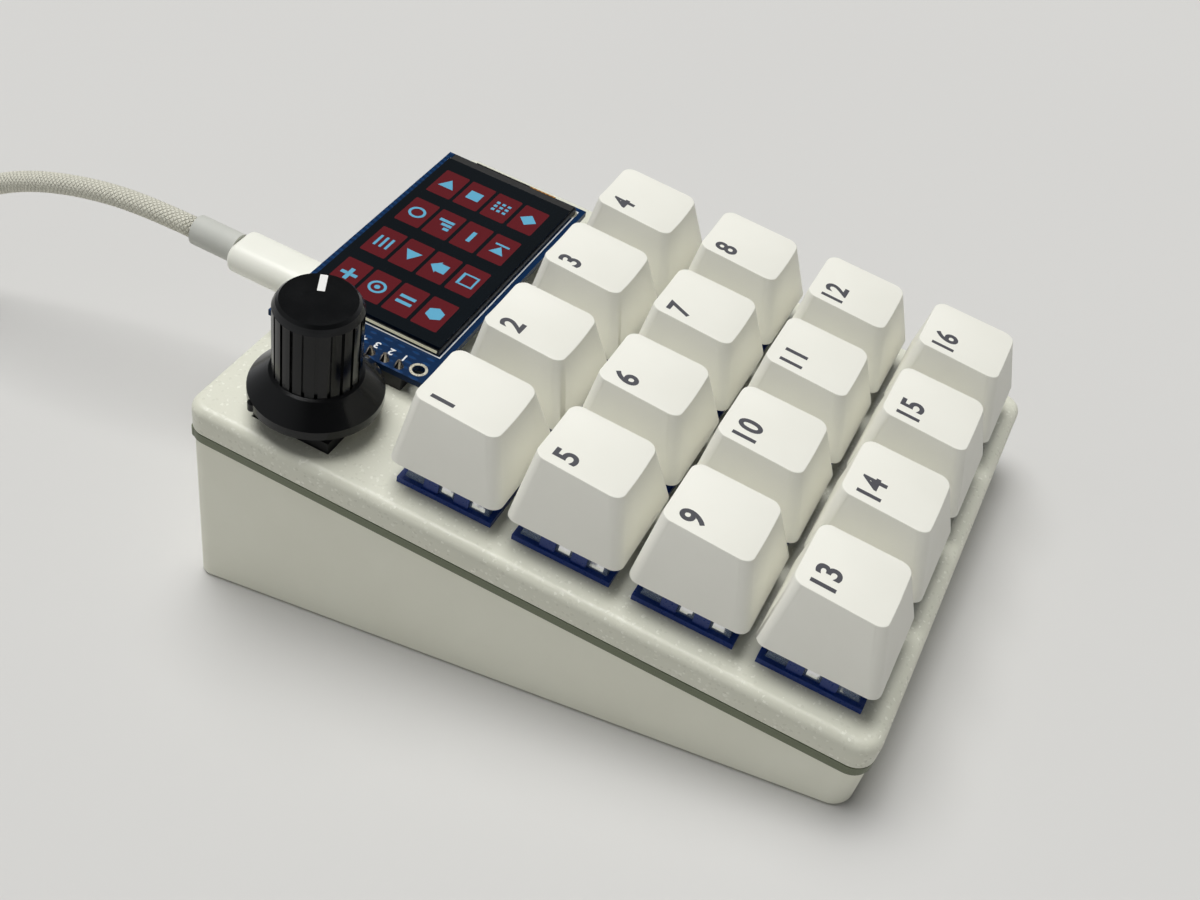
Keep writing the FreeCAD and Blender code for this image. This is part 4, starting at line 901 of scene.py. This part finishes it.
def raiseSlab(work, outline, low, high, topOutline=None):
    feet = [work.verts.new(onPlate(u, v, low)) for u, v in outline]
    tops = [work.verts.new(onPlate(u, v, high)) for u, v in topOutline or outline]
    work.faces.new(tops)
    work.faces.new(list(reversed(feet)))
    for number, foot in enumerate(feet):
        following = (number + 1) % len(feet)
        work.faces.new((foot, feet[following], tops[following], tops[number]))


def circlePoints(centre, radius, steps):
    turn = [2 * math.pi * step / steps for step in range(steps)]
    return [(centre[0] + radius * math.cos(a), centre[1] + radius * math.sin(a)) for a in turn]


def raiseRing(work, centre, inner, outer, low, high, steps=28):
    loops = []
    for radius, height in ((inner, low), (outer, low), (outer, high), (inner, high)):
        places = circlePoints(centre, radius, steps)
        loops.append([work.verts.new(onPlate(u, v, height)) for u, v in places])
    for first, second in zip(loops, loops[1:] + loops[:1]):
        for step in range(steps):
            following = (step + 1) % steps
            work.faces.new((first[step], first[following], second[following], second[step]))


# Screen: the lit tiles and their signs

screen = {
    "glassTop": 5.19,
    "across": (24.0, 13.7, 3.3, -7.0),
    "along": (64.3, 58.95, 53.6, 48.2),
    "tile": (7.5, 4.7),
    "corner": 0.3,
    "tileLift": 0.02,
    "signLift": 0.04,
    "sign": 1.75,  # half the size of a sign
    "barCorner": 0.06,
    "dotSteps": 16,
    "ledgeCorner": 0.1,
    "ledge": (31.3, 33.1, 43.7, 68.2, 4.8, 4.92),  # strip past the cover, where the flex starts
}


def barSign(bars):
    def draw(work, centre, size, low, high):
        for x, y, width, height in bars:
            left, front = centre[0] + (x - width / 2) * size, centre[1] + (y - height / 2) * size
            right, back = left + width * size, front + height * size
            outline = roundedOutline(left, right, front, back, screen["barCorner"], 2)
            raiseSlab(work, outline, low, high)

    return draw


def shapeSign(points):
    def draw(work, centre, size, low, high):
        raiseSlab(work, [(centre[0] + x * size, centre[1] + y * size) for x, y in points], low, high)

    return draw


def ringSign(inner, outer, dot=0.0):
    def draw(work, centre, size, low, high):
        raiseRing(work, centre, inner * size, outer * size, low, high)
        if dot:
            raiseSlab(work, circlePoints(centre, dot * size, screen["dotSteps"]), low, high)

    return draw


def severalSigns(*parts):
    def draw(work, centre, size, low, high):
        for part in parts:
            part(work, centre, size, low, high)

    return draw


plusSign = barSign([(0, 0, 1.7, 0.42), (0, 0.54, 0.42, 0.62), (0, -0.54, 0.42, 0.62)])
minusSign = barSign([(0, 0, 1.7, 0.42)])
pauseSign = barSign([(-0.42, 0, 0.4, 1.6), (0.42, 0, 0.4, 1.6)])
listSign = barSign([(0, 0.62, 1.7, 0.26), (0, 0, 1.7, 0.26), (0, -0.62, 1.7, 0.26)])
squareSign = barSign([(0, 0, 1.4, 1.4)])
windowBars = [(0, 0.72, 1.8, 0.28), (0, -0.75, 1.8, 0.2), (-0.8, 0, 0.2, 1.3), (0.8, 0, 0.2, 1.3)]
windowSign = barSign(windowBars)
playSign = shapeSign([(-0.6, -0.85), (0.85, 0), (-0.6, 0.85)])
backSign = shapeSign([(0.6, 0.85), (-0.85, 0), (0.6, -0.85)])
diamondSign = shapeSign([(0, -0.9), (0.9, 0), (0, 0.9), (-0.9, 0)])
sixth = math.pi / 3
hexagonSign = shapeSign([(0.9 * math.cos(k * sixth), 0.9 * math.sin(k * sixth)) for k in range(6)])
houseWalls = [(-0.65, 0.1), (-0.65, -0.8), (0.65, -0.8), (0.65, 0.1)]
houseSign = shapeSign(houseWalls + [(0.9, 0.1), (0, 0.95), (-0.9, 0.1)])
stepsSign = barSign([(-0.6, -0.5, 0.4, 0.6), (0, -0.25, 0.4, 1.1), (0.6, 0, 0.4, 1.6)])
targetSign = ringSign(0.62, 0.88, 0.28)
ringAlone = ringSign(0.6, 0.88)
dotsSign = barSign([(x * 0.62, y * 0.62, 0.36, 0.36) for x in (-1, 0, 1) for y in (-1, 0, 1)])
nextArrow = shapeSign([(-0.75, -0.75), (0.45, 0), (-0.75, 0.75)])
nextSign = severalSigns(nextArrow, barSign([(0.7, 0, 0.26, 1.5)]))
signs = [
    playSign, ringAlone, listSign, plusSign,
    squareSign, stepsSign, backSign, targetSign,
    dotsSign, minusSign, houseSign, pauseSign,
    diamondSign, nextSign, windowSign, hexagonSign,
]


def screenPicture():
    tiles, marks = bmesh.new(), bmesh.new()
    halfU, halfV = screen["tile"][0] / 2, screen["tile"][1] / 2
    top = screen["glassTop"]
    places = [(u, v) for v in screen["along"] for u in screen["across"]]
    for (u, v), sign in zip(places, signs):
        outline = roundedOutline(u - halfU, u + halfU, v - halfV, v + halfV, screen["corner"])
        raiseSlab(tiles, outline, top, top + screen["tileLift"])
        sign(marks, (u, v), screen["sign"], top, top + screen["signLift"])
    addPiece("screen_tiles", meshFrom(tiles, "screen_tiles"), "tilePicture", "case")
    addPiece("screen_signs", meshFrom(marks, "screen_signs"), "iconPicture", "case")
    ledge = bmesh.new()
    left, right, front, back, low, high = screen["ledge"]
    outline = roundedOutline(left, right, front, back, screen["ledgeCorner"], 2)
    raiseSlab(ledge, outline, low, high)
    addPiece("panel_ledge", meshFrom(ledge, "panel_ledge"), "ledgeInk", "case")


screenPicture()
print("screen picture made, tiles:", len(signs))


# Screen board: printed lines, plated holes, solder and pin numbers

board = {
    "left": -20.3,
    "right": 34.9,
    "front": 42.0,
    "back": 70.2,
    "top": 3.64,
    "holeInset": 2.3,
    "holeRadius": 1.0,
    "platedRadius": 1.45,
    "printLift": 0.03,
    "ringLiftShare": 1.3,  # of the print's lift
    "printWidth": 0.22,
    "panel": (-13.5, 33.4, 43.4, 68.5),
    "panelGap": 0.45,
    "tray": (0.22, 0.04, 0.4, 4.1, 4.48),  # thick at the foot and top, in from the corners, foot, top
    "pinRow": -19.0,
    "pinMiddle": 56.1,
    "pinPitch": 2.54,
    "pinCount": 8,
    "solderRadius": 0.85,
    "solderTip": 0.32,
    "solderHeight": 1.1,
    "solderSides": 16,
    "solderSteps": 4,
    "numberHeight": 1.4,
    "numberFoot": -16.4,
    "numberBold": 0.03,  # share of the height that the outline grows by
}


def frameLine(work, left, right, front, back, width, low, high):
    for start, end, near, far in (
        (left, right, front, front + width),
        (left, right, back - width, back),
        (left, left + width, front + width, back - width),
        (right - width, right, front + width, back - width),
    ):
        raiseSlab(work, boxOutline(start, end, near, far), low, high)


def pinAlong(number):
    return board["pinMiddle"] + (number - (board["pinCount"] - 1) / 2) * board["pinPitch"]


def boardPrint():
    work = bmesh.new()
    low, high = board["top"], board["top"] + board["printLift"]
    left, right, front, back = board["panel"]
    gap = board["panelGap"]
    frameLine(work, left - gap, right + gap, front - gap, back + gap, board["printWidth"], low, high)
    mesh = meshFrom(work, "board_print")
    addPiece("board_print", mesh, "silkPrint", "case")


def trayEdge():
    work = bmesh.new()
    left, right, front, back = board["panel"]
    foot, tip, inset, low, high = board["tray"]
    near, far = front + inset, back - inset
    footOutline = boxOutline(left - foot, left, near, far)
    raiseSlab(work, footOutline, low, high, boxOutline(left - tip, left, near, far))
    # Its near-white colour is a painted reflection.
    addPiece("tray_edge", meshFrom(work, "tray_edge"), "reflectionPaintedEdge", "case")


def boardRings():
    work = bmesh.new()
    low, high = board["top"], board["top"] + board["printLift"] * board["ringLiftShare"]
    inset = board["holeInset"]
    for u in (board["left"] + inset, board["right"] - inset):
        for v in (board["front"] + inset, board["back"] - inset):
            raiseRing(work, (u, v), board["holeRadius"], board["platedRadius"], low, high)
    addPiece("plated_rings", meshFrom(work, "plated_rings"), "tinPlate", "case")


def pinNumbers():
    joined = bmesh.new()
    for number in range(board["pinCount"]):
        height, bold = board["numberHeight"], board["numberBold"]
        flat = textMesh(f"pin_number_{number}", str(number + 1), height, bold)
        wide = max(vertex.co.x for vertex in flat.vertices) / mm
        place = Vector((board["numberFoot"], pinAlong(number) - wide / 2, board["top"] + board["printLift"]))
        flat.transform(plateMatrix @ Matrix.Translation(place * mm) @ Matrix.Rotation(math.pi / 2, 4, "Z"))
        joined.from_mesh(flat)
    mesh = bpy.data.meshes.new("pin_numbers")
    joined.to_mesh(mesh)
    joined.free()
    addPiece("pin_numbers", mesh, "silkPrint", "case")


def solderTree():
    sizes = {"Count": "Int", "Pitch": "Float", "Foot": "Float", "Tip": "Float", "Height": "Float"}
    growth = Growth("solder_tree", {**sizes, "Finish": "Material"})
    step = growth.node("ShaderNodeCombineXYZ", None, {"Y": growth.size("Pitch")})
    steps = {"Count": growth.size("Count"), "Offset": step}
    row = growth.node("GeometryNodeMeshLine", {"mode": "OFFSET"}, steps)
    cone = growth.node(
        "GeometryNodeMeshCone",
        None,
        {
            "Vertices": board["solderSides"],
            "Side Segments": board["solderSteps"],
            "Radius Top": growth.size("Tip"),
            "Radius Bottom": growth.size("Foot"),
            "Depth": growth.size("Height"),
        },
    )
    spread = growth.node("GeometryNodeInstanceOnPoints", None, {"Points": row, "Instance": cone})
    growth.end(spread)
    return growth


def solderJoints():
    values = {
        "Count": board["pinCount"],
        "Pitch": board["pinPitch"] * mm,
        "Foot": board["solderRadius"] * mm,
        "Tip": board["solderTip"] * mm,
        "Height": board["solderHeight"] * mm,
        "Finish": finishes["solder"],
    }
    mesh = solderTree().grow("solder_joints", values)
    start = Vector((board["pinRow"], pinAlong(0), board["top"])) * mm
    mesh.transform(plateMatrix @ Matrix.Translation(start))
    addPiece("solder_joints", mesh, "solder", "case")


boardPrint()
trayEdge()
boardRings()
pinNumbers()
solderJoints()
print("screen board dressed")


# Knob pointer: paint that fills the groove in the top disc

pointer = {
    "angle": math.radians(26.5),
    "start": 1.7,
    "end": 5.3,
    "width": 1.1,
    "corner": 0.12,
    "floor": 21.45,
    "top": 21.61,
}


def knobPointer():
    work = bmesh.new()
    half = pointer["width"] / 2
    cosine, sine = math.cos(pointer["angle"]), math.sin(pointer["angle"])
    outline = []
    for x, y in roundedOutline(pointer["start"], pointer["end"], -half, half, pointer["corner"], 3):
        u = plate["knobPlace"][0] + x * cosine - y * sine
        v = plate["knobPlace"][1] + x * sine + y * cosine
        outline.append((u, v))
    raiseSlab(work, outline, pointer["floor"], pointer["top"])
    addPiece("knob_pointer", meshFrom(work, "knob_pointer"), "pointerPaint", "knob")


knobPointer()
print("knob pointer made")


# Floor, lights and sky: the far floor and the sky near the horizon show pale, without lighting

studio = {
    "floor": (208, 207, 204),
    "floorShade": (202, 201, 198),
    "floorHalf": 6.0,  # m
    "farGlow": (0.55, 3.2, 0.85),  # where the far floor starts and ends to glow, and how much
    "sky": (0.97, 0.98, 1.0),
    "skyLevel": 0.13,
    "horizonLevel": 0.62,
    "horizonBand": (0.02, 0.5),  # rise of the view direction
    "window": (-0.76, 0.55, 0.34),  # towards a soft bright patch of the sky
    "windowShare": (0.5, 1.0),  # cosine where the patch starts and where it is full
    "windowLevel": 0.4,
    "keyPlace": (0.36, 0.18, 2.25),
    "keySize": 1.8,
    "keyPower": 53.5,
    "keyAim": (0, 0, 0.02),
}


def backdropRay(paint):
    kinds = ("Is Camera Ray", "Is Glossy Ray", "Is Transmission Ray")
    seen, glossy, through = (paint.node("ShaderNodeLightPath", out=kind) for kind in kinds)
    return seen + glossy + through


def makeFloor():
    work = bmesh.new()
    bmesh.ops.create_grid(work, x_segments=1, y_segments=1, size=studio["floorHalf"])
    mesh = meshFrom(work, "floor")
    floor = bpy.data.objects.new("floor", mesh)
    bpy.context.scene.collection.objects.link(floor)
    made = Finish("palePaper", Roughness=0.85)
    where = made.place()
    cloud = made.noise(where, 3.0, 2.0)
    made.put("Base Color", made.mix(cloud, tone(*studio["floorShade"]), tone(*studio["floor"])))
    away = made.node("ShaderNodeVectorMath", {"operation": "LENGTH"}, {0: where}, out="Value")
    near, far, glow = studio["farGlow"]
    made.put("Emission Color", tone(*studio["floor"]))
    made.put("Emission Strength", made.soften(away, near, far, 0.0, glow) * backdropRay(made))
    mesh.materials.append(made.material)


def makeLight(name, place, size, power, target):
    data = bpy.data.lights.new(name, "AREA")
    data.shape = "DISK"
    data.size = size
    data.energy = power
    lamp = bpy.data.objects.new(name, data)
    bpy.context.scene.collection.objects.link(lamp)
    aim = Vector(target) - Vector(place)
    lamp.matrix_world = Matrix.Translation(place) @ aim.to_track_quat("-Z", "Y").to_matrix().to_4x4()
    lamp.visible_camera = False


class SkyPaint(Finish):
    def __init__(self, world):
        world.use_nodes = True
        self.tree = world.node_tree
        self.surface = self.tree.nodes["Background"]


def makeSky():
    world = bpy.data.worlds.new("studioSky")
    bpy.context.scene.world = world
    paint = SkyPaint(world)
    paint.put("Color", (*studio["sky"], 1.0))
    towards = paint.node("ShaderNodeTexCoord", out="Generated")
    low, high = studio["horizonBand"]
    shown = paint.soften(paint.split(towards, "Z"), low, high, studio["horizonLevel"], 0.0)
    aims = {0: towards, 1: Vector(studio["window"]).normalized()}
    facing = paint.node("ShaderNodeVectorMath", {"operation": "DOT_PRODUCT"}, aims, out="Value")
    start, full = studio["windowShare"]
    window = paint.soften(facing, start, full, 0.0, studio["windowLevel"])
    paint.put("Strength", shown * backdropRay(paint) + window + studio["skyLevel"])


makeFloor()
key = (studio[part] for part in ("keyPlace", "keySize", "keyPower", "keyAim"))
makeLight("windowLight", *key)
makeSky()
bpy.context.scene.view_settings.view_transform = "Standard"
print("studio set")
